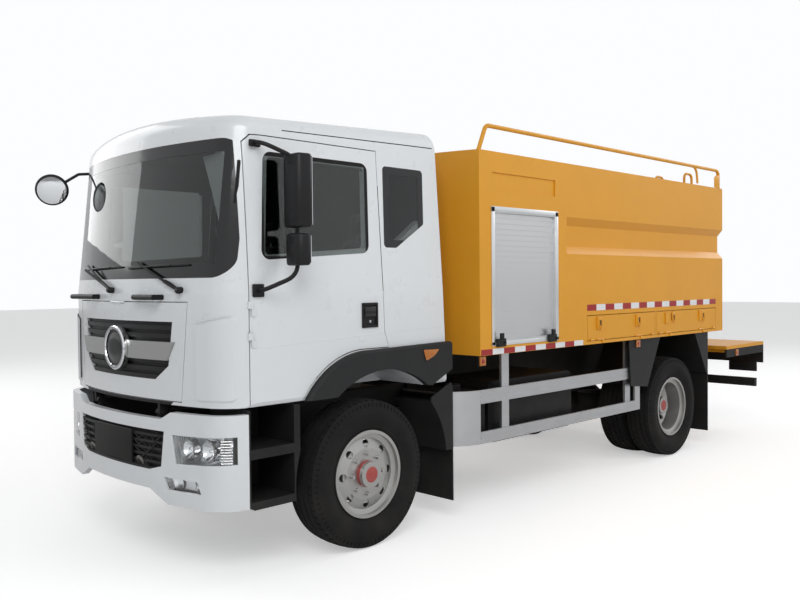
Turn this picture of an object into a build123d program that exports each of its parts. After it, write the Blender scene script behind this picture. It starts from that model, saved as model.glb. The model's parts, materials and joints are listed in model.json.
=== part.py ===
from build123d import *
import os
from math import cos, radians, sin, sqrt

# Vacuum truck with two axles and a tilting cab. Front faces -Y, the left side is +X,
# the origin lies on the ground under the middle of the truck.

# Layout along the truck
wheelbase = 4200
front_overhang = 1300
rear_overhang = 2177
front_axle_y = front_overhang - (front_overhang + wheelbase + rear_overhang) / 2
rear_axle_y = front_axle_y + wheelbase

# Clearances that every piece shares
seat_gap = 0.3
joint_gap = 6.0
overrun = 60.0

# Tyres and rims
tyre_radius = 506
tyre_half_width = 138
tread_half_width = 118
shoulder_drop = 9
sidewall_peak_radius = 402
bead_half_width = 105
rim_seat_radius = 286
rim_flange_radius = 298
rim_half_width = 118
rim_wall = 10
rim_well_radius = 252
rim_disc_wall = 14
rim_offset = 155
front_disc_reach = 92
hub_radius = 88
hub_reach = 52
bolt_circle_radius = 137.5
bolt_count = 8
bolt_radius = 13
bolt_reach = 26
hand_hole_radius = 27
hand_hole_circle = 206
hand_hole_count = 8
drum_radius = 205
drum_wall = 28
front_wheel_x = 968
rear_outer_x = 1012
twin_spacing = 311

# Axles, knuckles and steering
kingpin_x = 860
kingpin_radius = 22
beam_boss_radius = 50
beam_boss_height = 110
beam_boss_reach = 120
knuckle_lug_height = 40
knuckle_lug_half = 42
knuckle_web = 20
spindle_radius = 36
spindle_reach = 60
beam_width = 90
beam_depth = 92
beam_drop = 100
spring_centre_x = 400
spring_width = 80
spring_half_length = 700
spring_thickness = 48
spring_rise = 96
arm_length = 160
arm_drop = 118
arm_thickness = 24
tie_rod_radius = 17
rear_tube_radius = 66
rear_spindle_radius = 52
diff_radius = 205
diff_nose_reach_share = 1.5
diff_half_length = 290
diff_nose_share = 0.6
diff_flange_share = 0.35

# Chassis frame
rail_outer_x = 430
rail_height = 250
rail_flange = 75
rail_wall = 8
rail_top = 980
rail_front = -880
rail_back = 6180
cross_tube_radius = 45
cross_tube_shares = (0.03, 0.33, 0.45, 0.60, 0.80, 0.93)
sub_rail_width = 90
pivot_arm_wall = 26
bumper_arm_front = -1198
bumper_arm_foot = 560
bumper_pad_half = 50
engine_front = -480
engine_back = 620
engine_half_width = 320
engine_foot = 590
engine_top = 1270
gearbox_length = 620
gearbox_half_width = 190
gearbox_height = 380
bell_share = 1.2
tail_share = 0.6
prop_radius = 48
prop_flange_share = 1.3

# Cab
cab_half_width = 1062
cab_nose = 1250
cab_bow = 3200
cab_corner = 250
cab_floor = 1060
cab_floor_wall = 80
cab_waist = 1750
cab_ceiling_level = 3050
cab_back_foot = 822
cab_back_lean_share = 0.0524
cab_lean_share = 0.105
cab_draw_share = 0.023
cab_wall = 70
roof_front_crown = 2862
roof_back_crown = 2972
roof_arch = 60
roof_corner = 150
roof_brow = 120
skin_step = 1.0
door_wall = 45
door_front = -936
door_back_foot = 218
door_back_waist = 180
door_back_top = 126
door_top = 2708
door_corner = 45
door_seal_lap = 24
door_arch_gap = 11
door_hinge_aft = -924
door_hinge_x = 1068
door_hinge_radius = 6
door_hinge_length = 45
door_hinge_levels = (1420, 1610)
door_hinge_reach = 26
door_waist_level = 1460
window_front = -846
window_back = 45
window_foot = 1950
window_top = 2616
window_corner = 60
quarter_front = 190
quarter_back = 590
quarter_foot_front = 2050
quarter_foot_back = 2225
quarter_top = 2616
glass_wall = 5
glass_step = 1.5
glass_lap = 32
screen_half = 1022
screen_foot = 1845
screen_top = 2690
screen_corner = 120
screen_lap = 38
flap_half_top = 730
flap_half_foot = 670
flap_foot = 1085
flap_top = 1695
flap_wall = 30
flap_sheet = 6
flap_frame_inset = 9
flap_hinge_radius = 5.5
flap_hinge_half = 50
flap_hinge_length = 40
flap_hinge_aft = -1256
tunnel_half_width = 365
tunnel_wall = 18
tunnel_top = 1400
tunnel_front = -700
arch_aft = 140
arch_radius = 703
arch_level = 503
arch_liner = 20
arch_liner_x = 600
trim_thickness = 48
trim_foot_aft = -533
trim_middle_aft = -330
trim_middle_level = 1255
trim_top_aft = 20
trim_top_level = 1348
trim_back = 832
trim_back_level = 1364
trim_back_foot = 1159
trim_tail_aft = 606
trim_tail_level = 1054
tilt_pivot_aft = -1185
tilt_pivot_level = 1000

corner_panel_inner = 800
corner_panel_outer = 1030
corner_panel_foot = 1105
corner_panel_top = 1610
corner_panel_drop = 50
corner_panel_corner = 20
corner_panel_rise = 9

# Mirrors and door handles
mirror_x = 1215
mirror_aft = -690
mirror_bracket_aft = -880
mirror_bracket_x = 1120
mirror_bracket_level = 1765
mirror_head_level = 2655
mirror_head_step = 20
mirror_arm_rise = 90
mirror_arm_bend = 45
mirror_arm_radius = 14
mirror_bracket_half = 40
mirror_bracket_half_top = 22
mirror_bracket_wall = 22
mirror_nose_share = 0.8
mirror_corner = 22
mirror_heads = ((2146, 2590, 100, 56), (1915, 2110, 96, 46))
handle_front = -33
handle_back = 112
handle_foot = 1500
handle_top = 1670
handle_sink = 20
handle_proud = 14

# Front flap, grille, wipers and handles
grille_half_top = 600
grille_half_low = 560
grille_half_foot = 430
grille_top = 1575
grille_low = 1300
grille_foot = 1210
grille_sink = 6
grille_back_wall = 6
grille_slat_count = 7
grille_slat_share = 0.55
bar_half_top = 625
bar_half_foot = 560
bar_foot = 1335
bar_top = 1450
bar_rise = 16
ring_level = 1394
ring_radius = 145
ring_wall = 20
ring_reach = 42
ring_dish = 16
wiper_places = ((680, 330), (-70, -450))
wiper_base_step = 40
wiper_base_level = 1772
wiper_tip_level = 1912
wiper_proud = 62
wiper_radius = 9
wiper_hub_radius = 20
grab_places = ((270, 530), (-640, -290))
grab_level = 1728
grab_proud = 28
grab_root = 40
grab_radius = 17
front_mirror_x = 1115
front_mirror_aft = -1216
front_mirror_level = 2533
front_mirror_radius = 120
front_mirror_depth = 44
front_mirror_taper = 35
front_mirror_turn = radians(25)
front_mirror_dip = radians(18)
front_mirror_foot_x = 960
front_mirror_foot_aft = -975
front_mirror_foot_level = 2660
front_mirror_stalk_radius = 11

# Inside of the cab
dash_front = -1200
dash_back = -760
dash_foot = 1420
dash_top_front = 1800
dash_top_back = 1740
dash_lip = 60
steering_x = 560
steering_aft = -560
steering_level = 1830
steering_radius = 215
steering_grip_radius = 17
steering_tilt = radians(38)
steering_column_length = 330
steering_hub_share = 2.5
steering_column_share = 1.5
seat_x = 620
seat_half_width = 245
seat_front = -250
seat_back = 270
seat_level = 1500
seat_cushion = 130
seat_back_wall = 130
seat_back_lean = 90
seat_head_level = 2330
seat_base_share = 0.7

# Bumper, lamps and steps
bumper_nose = 1300
bumper_wall = 45
bumper_foot = 530
bumper_corner_foot = 450
bumper_top = 975
bumper_lamp_top = 1022
bumper_back = -960
bumper_corner = 240
lamp_inner = 650
lamp_foot = 712
lamp_top = 885
lamp_depth = 120
fog_inner = 600
fog_outer = 880
fog_foot = 545
fog_top = 618
bumper_grille_half_top = 575
bumper_grille_half_foot = 430
bumper_grille_top = 900
bumper_grille_foot = 650
bumper_side_step = 8
lamp_slant = 30
lamp_rise = 20
lamp_back = -1030
mouth_sink = 24
mouth_bar_count = 6
mouth_bar_share = 0.4
step_inner_x = 640
step_outer_x = 1052
step_front = bumper_back + seat_gap
step_back = -560
step_foot = 430
step_top = 1040
step_wall = 24
step_arch_step = 35
step_pockets = ((800, 1100), (480, 740))
cab_lug_half = 60
cab_lug_wall = 24
cab_pivot_radius = 25
cab_pin_radius = 12

# Mudguards and side guards
guard_inner_x = 700
guard_outer_x = 1090
guard_wall = 12
guard_radius = 640
guard_front = 619
guard_low = 560
guard_top = 963
guard_peak = 839
guard_back = 856
guard_shoulder = 1055
guard_step = 40
guard_stay_radius = 16
guard_stay_angle = radians(30)
guard_foot = 552
mudflap_foot = 165
rear_guard_inner_x = 565
rear_guard_outer_x = 1170
rear_guard_front = 3280
rear_guard_lean = 32
rear_guard_low = 3627
rear_guard_high = 3884
rear_guard_foot = 800
rear_guard_tail_high = 4629
rear_guard_tail_low = 4897
rear_guard_back = 4935
guard_top_rail = (866, 972)
guard_low_rail = (556, 649)
guard_rail_x = 1146
guard_rail_wall = 20
guard_rail_front = 1112
guard_rail_back = 3427
guard_rib = 5
guard_rib_shares = (0.15, 0.5, 0.85)
guard_post = 92
guard_post_wall = 22
guard_nose_front = 868
guard_nose_turn = 130
guard_nose_share = 0.28
guard_post_places = (1398, 3277)

# Tanks on the frame
tank_front = 1330
tank_back = 2500
tank_foot = 520
tank_top = 1010
tank_step = 40
tank_outer_x = 1040
tank_corner = 60
urea_front = 930
urea_back = 1290
battery_back = 1750
air_tank_radius = 120
tank_bracket_places = (1000, 1500, 2300)

# Body, platform and side equipment, measured back from the front axle
body_half_width = 1196
body_front = 1053
body_back = 5240
body_foot = 1242
body_top = 2807
body_crown = 35
recess_front = 2210
recess_foot = 2035
recess_top = 2352
recess_depth = 57
recess_slope = 70
shutter_front = 1190
shutter_back = 2077
shutter_foot = 1312
shutter_top = 2383
shutter_frame = 44
shutter_depth = 40
shutter_slat = 42
locker_front = 2520
locker_back = 5070
locker_foot = 1270
locker_top = 1500
locker_depth = 420
flap_gap = 6
side_flap_wall = 26
platform_front = 5356
platform_back = 6377
platform_top = 1057
platform_half_width = 1192
deck_wall = 38
head_panel_front = 1206
head_panel_back = 2046
head_panel_foot = 2514
head_panel_top = 2648
head_panel_depth = 12
locker_places = ((2520, 3730), (3760, 5070))
latch_shares = (0.16, 0.72)
latch_half = 45
latch_foot = 1370
latch_top = 1480
latch_proud = 14
side_hinge_radius = 9
side_hinge_share = 0.6
side_hinge_level = 1282
side_pin_radius = 5
side_pin_length = 25
rear_shutter_low = -520
rear_shutter_high = 1000
shutter_lip = 4
shutter_slat_share = 0.82
shutter_slat_rise = 5
roof_rail_inset = 32
roof_rail_level = 3005
roof_rail_rake = 90
roof_rail_bend = 60
roof_rail_radius = 17
ladder_x = 620
ladder_half_width = 176
ladder_step = 90
ladder_foot = 1130
ladder_top = 3010
ladder_bend = 60
ladder_radius = 14
ladder_rungs = 6
ladder_rung_share = 0.9
ladder_stay_share = 0.8
skirt_wall = 20
skirt_foot = 800
skirt_side = 90
platform_beam_shares = (0.05, 0.4, 0.75)
platform_beam_half = 1150
underrun_aft = 6237
underrun_half = 1145
underrun_foot = 520
underrun_top = 620
underrun_depth = 60
underrun_corner = 12
suction_x = -840
suction_level = 1440
suction_radius = 84
suction_bore = 75
suction_lip = 30
suction_length = 160
suction_flange = 18
tail_lamp_inner = 780
tail_lamp_outer = 1120
tail_lamp_height = 110
tail_lamp_wall = 30

os.makedirs("parts", exist_ok=True)


def aft(distance):
    """Place along the truck for a distance behind the front axle."""
    return front_axle_y + distance


def slab(x_span, y_span, z_span, mode=Mode.ADD):
    """Block between two corners."""
    with Locations((x_span[0], y_span[0], z_span[0])):
        Box(
            x_span[1] - x_span[0],
            y_span[1] - y_span[0],
            z_span[1] - z_span[0],
            align=(Align.MIN, Align.MIN, Align.MIN),
            mode=mode,
        )


def side_outline(points, x_low, x_high, corner=0, mode=Mode.ADD):
    """Extrude an outline of (y, z) points across the truck."""
    with BuildSketch(Plane.YZ.offset(x_low)) as outline:
        with BuildLine():
            Polyline(*points, close=True)
        make_face()
        if corner:
            fillet(outline.vertices(), corner)
    extrude(outline.sketch, amount=x_high - x_low, mode=mode)


def front_outline(points, y_front, y_back, corner=0, mode=Mode.ADD):
    """Extrude an outline of (x, z) points along the truck."""
    with BuildSketch(Plane.XZ.offset(-y_back)) as outline:
        with BuildLine():
            Polyline(*points, close=True)
        make_face()
        if corner:
            fillet(outline.vertices(), corner)
    extrude(outline.sketch, amount=y_back - y_front, mode=mode)


def plan_outline(points, z_low, z_high, corner=0, mode=Mode.ADD):
    """Extrude an outline of (x, y) points upwards."""
    with BuildSketch(Plane.XY.offset(z_low)) as outline:
        with BuildLine():
            Polyline(*points, close=True)
        make_face()
        if corner:
            fillet(outline.vertices(), corner)
    extrude(outline.sketch, amount=z_high - z_low, mode=mode)


def rod(start, end, radius, mode=Mode.ADD):
    """Round bar between two points."""
    run = Vector(*end) - Vector(*start)
    with BuildSketch(Plane(origin=start, z_dir=run)) as section:
        Circle(radius)
    extrude(section.sketch, amount=run.length, mode=mode)


def write(piece, label):
    """Label a finished piece and write it."""
    piece.part.label = label
    export_step(piece.part, f"parts/{label}.step")


def mirrored(piece):
    """The same piece on the other side of the truck."""
    with BuildPart() as other:
        add(piece.part)
        mirror(about=Plane.YZ, mode=Mode.REPLACE)
    return other


def write_pair(piece, label):
    """Write a left piece and its mirror image on the right."""
    write(piece, f"{label}_left")
    write(mirrored(piece), f"{label}_right")


# Wheels

def axle_plane(centre_x, axle_y):
    """Section plane of a wheel: local x along the axle, local y outwards from it."""
    return Plane(origin=(centre_x, axle_y, tyre_radius), x_dir=(1, 0, 0), z_dir=(0, 0, 1))


def tyre_section(plane):
    """Half outline of a tyre from bead to bead over the crown."""
    shoulder = tyre_radius - shoulder_drop
    cheek_x = (tread_half_width + tyre_half_width) / 2
    cheek_radius = shoulder - (tyre_half_width - tread_half_width)
    foot_radius = rim_flange_radius + shoulder_drop
    bead_x = bead_half_width - seat_gap
    bead_radius = rim_seat_radius + seat_gap
    with BuildSketch(plane) as section:
        with BuildLine():
            ThreePointArc((-tread_half_width, shoulder), (0, tyre_radius), (tread_half_width, shoulder))
            for side in (1, -1):
                Line((side * tread_half_width, shoulder), (side * cheek_x, cheek_radius))
                ThreePointArc(
                    (side * cheek_x, cheek_radius),
                    (side * tyre_half_width, sidewall_peak_radius),
                    (side * rim_half_width, foot_radius),
                )
                Polyline(
                    (side * rim_half_width, foot_radius),
                    (side * bead_x, rim_flange_radius),
                    (side * bead_x, bead_radius),
                )
            Line((bead_x, bead_radius), (-bead_x, bead_radius))
        make_face()
    return section.sketch


def add_tyre(centre_x, axle_y):
    """Closed tyre ring on its rim's seats."""
    plane = axle_plane(centre_x, axle_y)
    revolve(tyre_section(plane), axis=Axis(plane.origin, plane.x_dir))


def add_rim(centre_x, axle_y, outward, disc_reach):
    """Rim barrel and pressed disc; the disc reaches out from the rim's middle."""
    plane = axle_plane(centre_x, axle_y)
    axis = Axis(plane.origin, plane.x_dir)
    well_half = rim_half_width - 2 * rim_wall - rim_disc_wall * 2
    inner_well = rim_well_radius - rim_wall
    inner_seat = rim_seat_radius - rim_wall
    with BuildSketch(plane) as barrel:
        with BuildLine():
            Polyline(
                (-rim_half_width, rim_flange_radius),
                (-bead_half_width, rim_flange_radius),
                (-bead_half_width, rim_seat_radius),
                (-well_half - rim_wall, rim_seat_radius),
                (-well_half, rim_well_radius),
                (well_half, rim_well_radius),
                (well_half + rim_wall, rim_seat_radius),
                (bead_half_width, rim_seat_radius),
                (bead_half_width, rim_flange_radius),
                (rim_half_width, rim_flange_radius),
                (rim_half_width, inner_seat),
                (well_half + 2 * rim_wall, inner_seat),
                (well_half + rim_wall, inner_well),
                (-well_half - rim_wall, inner_well),
                (-well_half - 2 * rim_wall, inner_seat),
                (-rim_half_width, inner_seat),
                close=True,
            )
        make_face()
    revolve(barrel.sketch, axis=axis)
    root = outward * well_half
    face = outward * disc_reach
    slope = (face - root) / 2
    wall = outward * rim_disc_wall
    lip = bolt_circle_radius + hand_hole_radius + rim_wall
    with BuildSketch(plane) as disc:
        with BuildLine():
            Polyline(
                (root, rim_well_radius - rim_wall / 2),
                (root + slope, hand_hole_circle + rim_wall),
                (face, lip),
                (face, hub_radius - rim_wall),
                (face - wall, hub_radius - rim_wall),
                (face - wall, lip),
                (root + slope - wall, hand_hole_circle),
                (root - wall, rim_well_radius - rim_wall / 2),
                close=True,
            )
        make_face()
    revolve(disc.sketch, axis=axis)
    with Locations(Plane(origin=(centre_x, axle_y, tyre_radius), z_dir=(1, 0, 0))):
        with PolarLocations(hand_hole_circle, hand_hole_count):
            Cylinder(hand_hole_radius, 2 * (rim_offset + overrun), mode=Mode.SUBTRACT)


def add_turned(centre_x, axle_y, inner, outer, radius, mode=Mode.ADD):
    """Plain round length on the axle's line, from one place to another."""
    rod((centre_x + inner, axle_y, tyre_radius), (centre_x + outer, axle_y, tyre_radius), radius, mode)


def add_bolts(face_x, axle_y, reach):
    """Ring of wheel bolts that stand out of a disc."""
    with Locations(Plane(origin=(face_x, axle_y, tyre_radius), z_dir=(1, 0, 0))):
        with PolarLocations(bolt_circle_radius, bolt_count):
            Cylinder(bolt_radius, reach, align=(Align.CENTER, Align.CENTER, Align.MIN))


def add_drum(start_x, end_x, axle_y):
    """Brake drum: a ring closed towards the disc, which is at its end."""
    rod((start_x, axle_y, tyre_radius), (end_x, axle_y, tyre_radius), drum_radius)
    web = drum_wall if end_x > start_x else -drum_wall
    rod(
        (start_x, axle_y, tyre_radius),
        (end_x - web, axle_y, tyre_radius),
        drum_radius - drum_wall,
        Mode.SUBTRACT,
    )


front_face_x = front_wheel_x + front_disc_reach
front_hub_inner = kingpin_x + beam_boss_radius + 2 * joint_gap + knuckle_web
spindle_end_x = front_wheel_x + spindle_reach

with BuildPart() as front_tyre:
    add_tyre(front_wheel_x, front_axle_y)

with BuildPart() as front_rim:
    add_rim(front_wheel_x, front_axle_y, 1, front_disc_reach)
    add_drum(front_hub_inner, front_face_x - rim_disc_wall, front_axle_y)
    add_turned(front_wheel_x, front_axle_y, front_hub_inner - front_wheel_x, front_disc_reach + hub_reach, hub_radius)
    add_bolts(front_face_x, front_axle_y, bolt_reach)
    add_turned(
        front_wheel_x,
        front_axle_y,
        front_hub_inner - overrun - front_wheel_x,
        spindle_reach + joint_gap,
        spindle_radius + seat_gap,
        Mode.SUBTRACT,
    )

twin_centre_x = rear_outer_x - twin_spacing / 2
rear_inner_x = rear_outer_x - twin_spacing
rear_hub_inner = rear_inner_x - rim_half_width / 2
rear_spindle_end = twin_centre_x + hub_reach

with BuildPart() as rear_tyres:
    add_tyre(rear_outer_x, rear_axle_y)
    add_tyre(rear_inner_x, rear_axle_y)

with BuildPart() as rear_rims:
    add_rim(rear_outer_x, rear_axle_y, -1, twin_spacing / 2)
    add_rim(rear_inner_x, rear_axle_y, 1, twin_spacing / 2)
    add_drum(rear_hub_inner, twin_centre_x - rim_disc_wall, rear_axle_y)
    rod(
        (rear_hub_inner, rear_axle_y, tyre_radius),
        (rear_outer_x + hub_reach / 2, rear_axle_y, tyre_radius),
        hub_radius,
    )
    add_bolts(twin_centre_x + rim_disc_wall, rear_axle_y, bolt_reach)
    rod(
        (rear_hub_inner - overrun, rear_axle_y, tyre_radius),
        (rear_spindle_end + joint_gap, rear_axle_y, tyre_radius),
        rear_spindle_radius + seat_gap,
        Mode.SUBTRACT,
    )

write_pair(front_tyre, "front_tyre")
write_pair(front_rim, "front_rim")
write_pair(rear_tyres, "rear_tyres")
write_pair(rear_rims, "rear_rims")

# Steering knuckles, front axle beam and tie rod

beam_level = tyre_radius
lug_low = beam_level - beam_boss_height / 2 - skin_step
lug_high = beam_level + beam_boss_height / 2 + skin_step
web_inner_x = kingpin_x + beam_boss_radius + joint_gap
eye_x = kingpin_x
eye_y = front_axle_y + arm_length
arm_top = lug_low - knuckle_lug_height + arm_thickness
arm_low = lug_low - knuckle_lug_height

with BuildPart() as knuckle:
    slab(
        (web_inner_x, web_inner_x + knuckle_web),
        (front_axle_y - knuckle_lug_half, front_axle_y + knuckle_lug_half),
        (lug_low - knuckle_lug_height, lug_high + knuckle_lug_height),
    )
    for low in (lug_low - knuckle_lug_height, lug_high):
        slab(
            (kingpin_x, web_inner_x + knuckle_web),
            (front_axle_y - knuckle_lug_half, front_axle_y + knuckle_lug_half),
            (low, low + knuckle_lug_height),
        )
        rod((kingpin_x, front_axle_y, low), (kingpin_x, front_axle_y, low + knuckle_lug_height), knuckle_lug_half)
    rod(
        (kingpin_x, front_axle_y, lug_low - knuckle_lug_height),
        (kingpin_x, front_axle_y, lug_high + knuckle_lug_height),
        kingpin_radius,
    )
    rod((web_inner_x, front_axle_y, tyre_radius), (web_inner_x + knuckle_web, front_axle_y, tyre_radius),
        drum_radius - drum_wall - joint_gap)
    rod((web_inner_x, front_axle_y, tyre_radius), (spindle_end_x, front_axle_y, tyre_radius), spindle_radius)
    plan_outline(
        (
            (kingpin_x + knuckle_lug_half, front_axle_y),
            (eye_x + knuckle_lug_half / 2, eye_y),
            (eye_x - knuckle_lug_half / 2, eye_y),
            (kingpin_x - knuckle_lug_half, front_axle_y),
        ),
        arm_low,
        arm_top,
    )
    rod((eye_x, eye_y, arm_low), (eye_x, eye_y, arm_top), knuckle_lug_half / 2)
    rod((eye_x, eye_y, arm_low - arm_thickness), (eye_x, eye_y, arm_top), tie_rod_radius / 2)

write_pair(knuckle, "knuckle")

with BuildPart() as tie_rod:
    tie_level = arm_low - arm_thickness
    rod((-eye_x, eye_y, tie_level), (eye_x, eye_y, tie_level), tie_rod_radius)
    for side in (-1, 1):
        rod(
            (side * eye_x, eye_y, tie_level - arm_thickness / 2),
            (side * eye_x, eye_y, arm_low - seat_gap),
            knuckle_lug_half / 2,
        )
        rod(
            (side * eye_x, eye_y, tie_level - arm_thickness),
            (side * eye_x, eye_y, arm_low),
            tie_rod_radius / 2 + seat_gap,
            Mode.SUBTRACT,
        )

write(tie_rod, "tie_rod")

beam_top = beam_level - beam_boss_height / 2 + beam_depth / 2 - beam_drop / 2
pad_x = spring_centre_x + spring_width / 2
with BuildPart() as front_axle_beam:
    front_outline(
        (
            (-kingpin_x, beam_level + beam_boss_height / 2),
            (-kingpin_x, beam_level - beam_boss_height / 2),
            (-kingpin_x + beam_boss_reach, beam_level - beam_boss_height / 2),
            (-pad_x - beam_drop, beam_top - beam_depth),
            (pad_x + beam_drop, beam_top - beam_depth),
            (kingpin_x - beam_boss_reach, beam_level - beam_boss_height / 2),
            (kingpin_x, beam_level - beam_boss_height / 2),
            (kingpin_x, beam_level + beam_boss_height / 2),
            (kingpin_x - beam_boss_radius, beam_level + beam_boss_height / 2),
            (pad_x + beam_boss_radius, beam_top),
            (-pad_x - beam_boss_radius, beam_top),
            (-kingpin_x + beam_boss_radius, beam_level + beam_boss_height / 2),
        ),
        front_axle_y - beam_width / 2,
        front_axle_y + beam_width / 2,
    )
    for front, back in (
        (front_axle_y - beam_width, front_axle_y - rim_disc_wall),
        (front_axle_y + rim_disc_wall, front_axle_y + beam_width),
    ):
        slab((-pad_x, pad_x), (front, back), (beam_top - beam_depth + rim_disc_wall, beam_top - rim_disc_wall),
             Mode.SUBTRACT)
    for side in (-1, 1):
        rod((side * kingpin_x, front_axle_y, beam_level - beam_boss_height / 2),
            (side * kingpin_x, front_axle_y, beam_level + beam_boss_height / 2), beam_boss_radius)
        rod((side * kingpin_x, front_axle_y, beam_level - beam_boss_height),
            (side * kingpin_x, front_axle_y, beam_level + beam_boss_height), kingpin_radius + seat_gap,
            Mode.SUBTRACT)
        slab(
            (side * spring_centre_x - spring_width / 2, side * spring_centre_x + spring_width / 2),
            (front_axle_y - beam_width, front_axle_y + beam_width),
            (beam_top - seat_gap, beam_top + rim_disc_wall),
        )

write(front_axle_beam, "front_axle_beam")

# Rear axle with its differential, springs and propeller shaft

with BuildPart() as rear_axle:
    with BuildSketch(Plane.XY.offset(tyre_radius)) as housing:
        with BuildLine():
            tube_end = rear_hub_inner - joint_gap
            bulge_edge = rear_axle_y + rear_tube_radius
            Polyline(
                (diff_half_length, bulge_edge),
                (tube_end, bulge_edge),
                (tube_end, rear_axle_y + rear_spindle_radius),
                (rear_spindle_end, rear_axle_y + rear_spindle_radius),
                (rear_spindle_end, rear_axle_y),
                (-rear_spindle_end, rear_axle_y),
                (-rear_spindle_end, rear_axle_y + rear_spindle_radius),
                (-tube_end, rear_axle_y + rear_spindle_radius),
                (-tube_end, bulge_edge),
                (-diff_half_length, bulge_edge),
            )
            ThreePointArc(
                (-diff_half_length, bulge_edge), (0, rear_axle_y + diff_radius), (diff_half_length, bulge_edge)
            )
        make_face()
    revolve(housing.sketch, axis=Axis((0, rear_axle_y, tyre_radius), (1, 0, 0)))
    nose_end = rear_axle_y - diff_nose_reach_share * diff_radius
    rod((0, rear_axle_y, tyre_radius), (0, nose_end, tyre_radius), diff_radius * diff_nose_share)
    rod((0, rear_axle_y, tyre_radius), (0, rear_axle_y - 2 * diff_radius, tyre_radius),
        diff_radius * diff_flange_share)
    for side in (-1, 1):
        slab(
            (side * spring_centre_x - spring_width / 2, side * spring_centre_x + spring_width / 2),
            (rear_axle_y - beam_width, rear_axle_y + beam_width),
            (tyre_radius, tyre_radius + rear_tube_radius + rim_disc_wall),
        )

write(rear_axle, "rear_axle")


def add_spring(side, axle_y, seat_level):
    """Leaf spring pack on its seat, with hangers up to the frame rail."""
    rail_foot = rail_top - rail_height
    end_level = min(seat_level + spring_rise, rail_foot - spring_thickness)
    x_low = side * spring_centre_x - spring_width / 2
    x_high = side * spring_centre_x + spring_width / 2
    with BuildSketch(Plane.YZ.offset(x_low)) as pack:
        with BuildLine():
            ThreePointArc(
                (axle_y - spring_half_length, end_level),
                (axle_y, seat_level),
                (axle_y + spring_half_length, end_level),
            )
            Line((axle_y + spring_half_length, end_level), (axle_y + spring_half_length, end_level + rim_wall * 2))
            ThreePointArc(
                (axle_y + spring_half_length, end_level + rim_wall * 2),
                (axle_y, seat_level + spring_thickness),
                (axle_y - spring_half_length, end_level + rim_wall * 2),
            )
            Line((axle_y - spring_half_length, end_level + rim_wall * 2), (axle_y - spring_half_length, end_level))
        make_face()
    extrude(pack.sketch, amount=spring_width)
    slab((x_low, x_high), (axle_y - beam_width, axle_y + beam_width),
         (seat_level, seat_level + spring_thickness + rim_disc_wall))
    for end in (-1, 1):
        middle = axle_y + end * spring_half_length
        side_outline(
            (
                (middle - beam_width, rail_foot),
                (middle + beam_width, rail_foot),
                (middle + beam_width / 3, end_level - rim_wall),
                (middle - beam_width / 3, end_level - rim_wall),
            ),
            x_low,
            x_high,
        )


with BuildPart() as leaf_springs:
    for side in (-1, 1):
        add_spring(side, front_axle_y, beam_top + rim_disc_wall)
        add_spring(side, rear_axle_y, tyre_radius + rear_tube_radius + rim_disc_wall)

write(leaf_springs, "leaf_springs")

# Engine, gearbox and shaft

with BuildPart() as engine_block:
    slab((-engine_half_width, engine_half_width), (aft(engine_front), aft(engine_back)), (engine_foot, engine_top))

write(engine_block, "engine_block")

prop_start = aft(engine_back + gearbox_length)
with BuildPart() as driveline:
    shaft_level = engine_foot + gearbox_height / 2
    with BuildSketch(Plane.XZ.offset(-aft(engine_back))) as bell:
        with Locations((0, shaft_level)):
            Circle(gearbox_half_width * bell_share)
    with BuildSketch(Plane.XZ.offset(-prop_start)) as tail:
        with Locations((0, shaft_level)):
            Circle(gearbox_half_width * tail_share)
    loft(sections=[bell.sketch, tail.sketch], ruled=True)
    slab((-gearbox_half_width, gearbox_half_width),
         (aft(engine_back) + beam_width, prop_start - beam_width),
         (engine_foot, shaft_level))
    flange_end = rear_axle_y - 2 * diff_radius - seat_gap
    rod((0, prop_start - beam_width, shaft_level), (0, flange_end - prop_radius, tyre_radius), prop_radius)
    rod((0, flange_end - 2 * prop_radius, tyre_radius), (0, flange_end, tyre_radius), prop_radius * prop_flange_share)

write(driveline, "driveline")

# Chassis frame with its cross tubes and the bearers under the body

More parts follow.
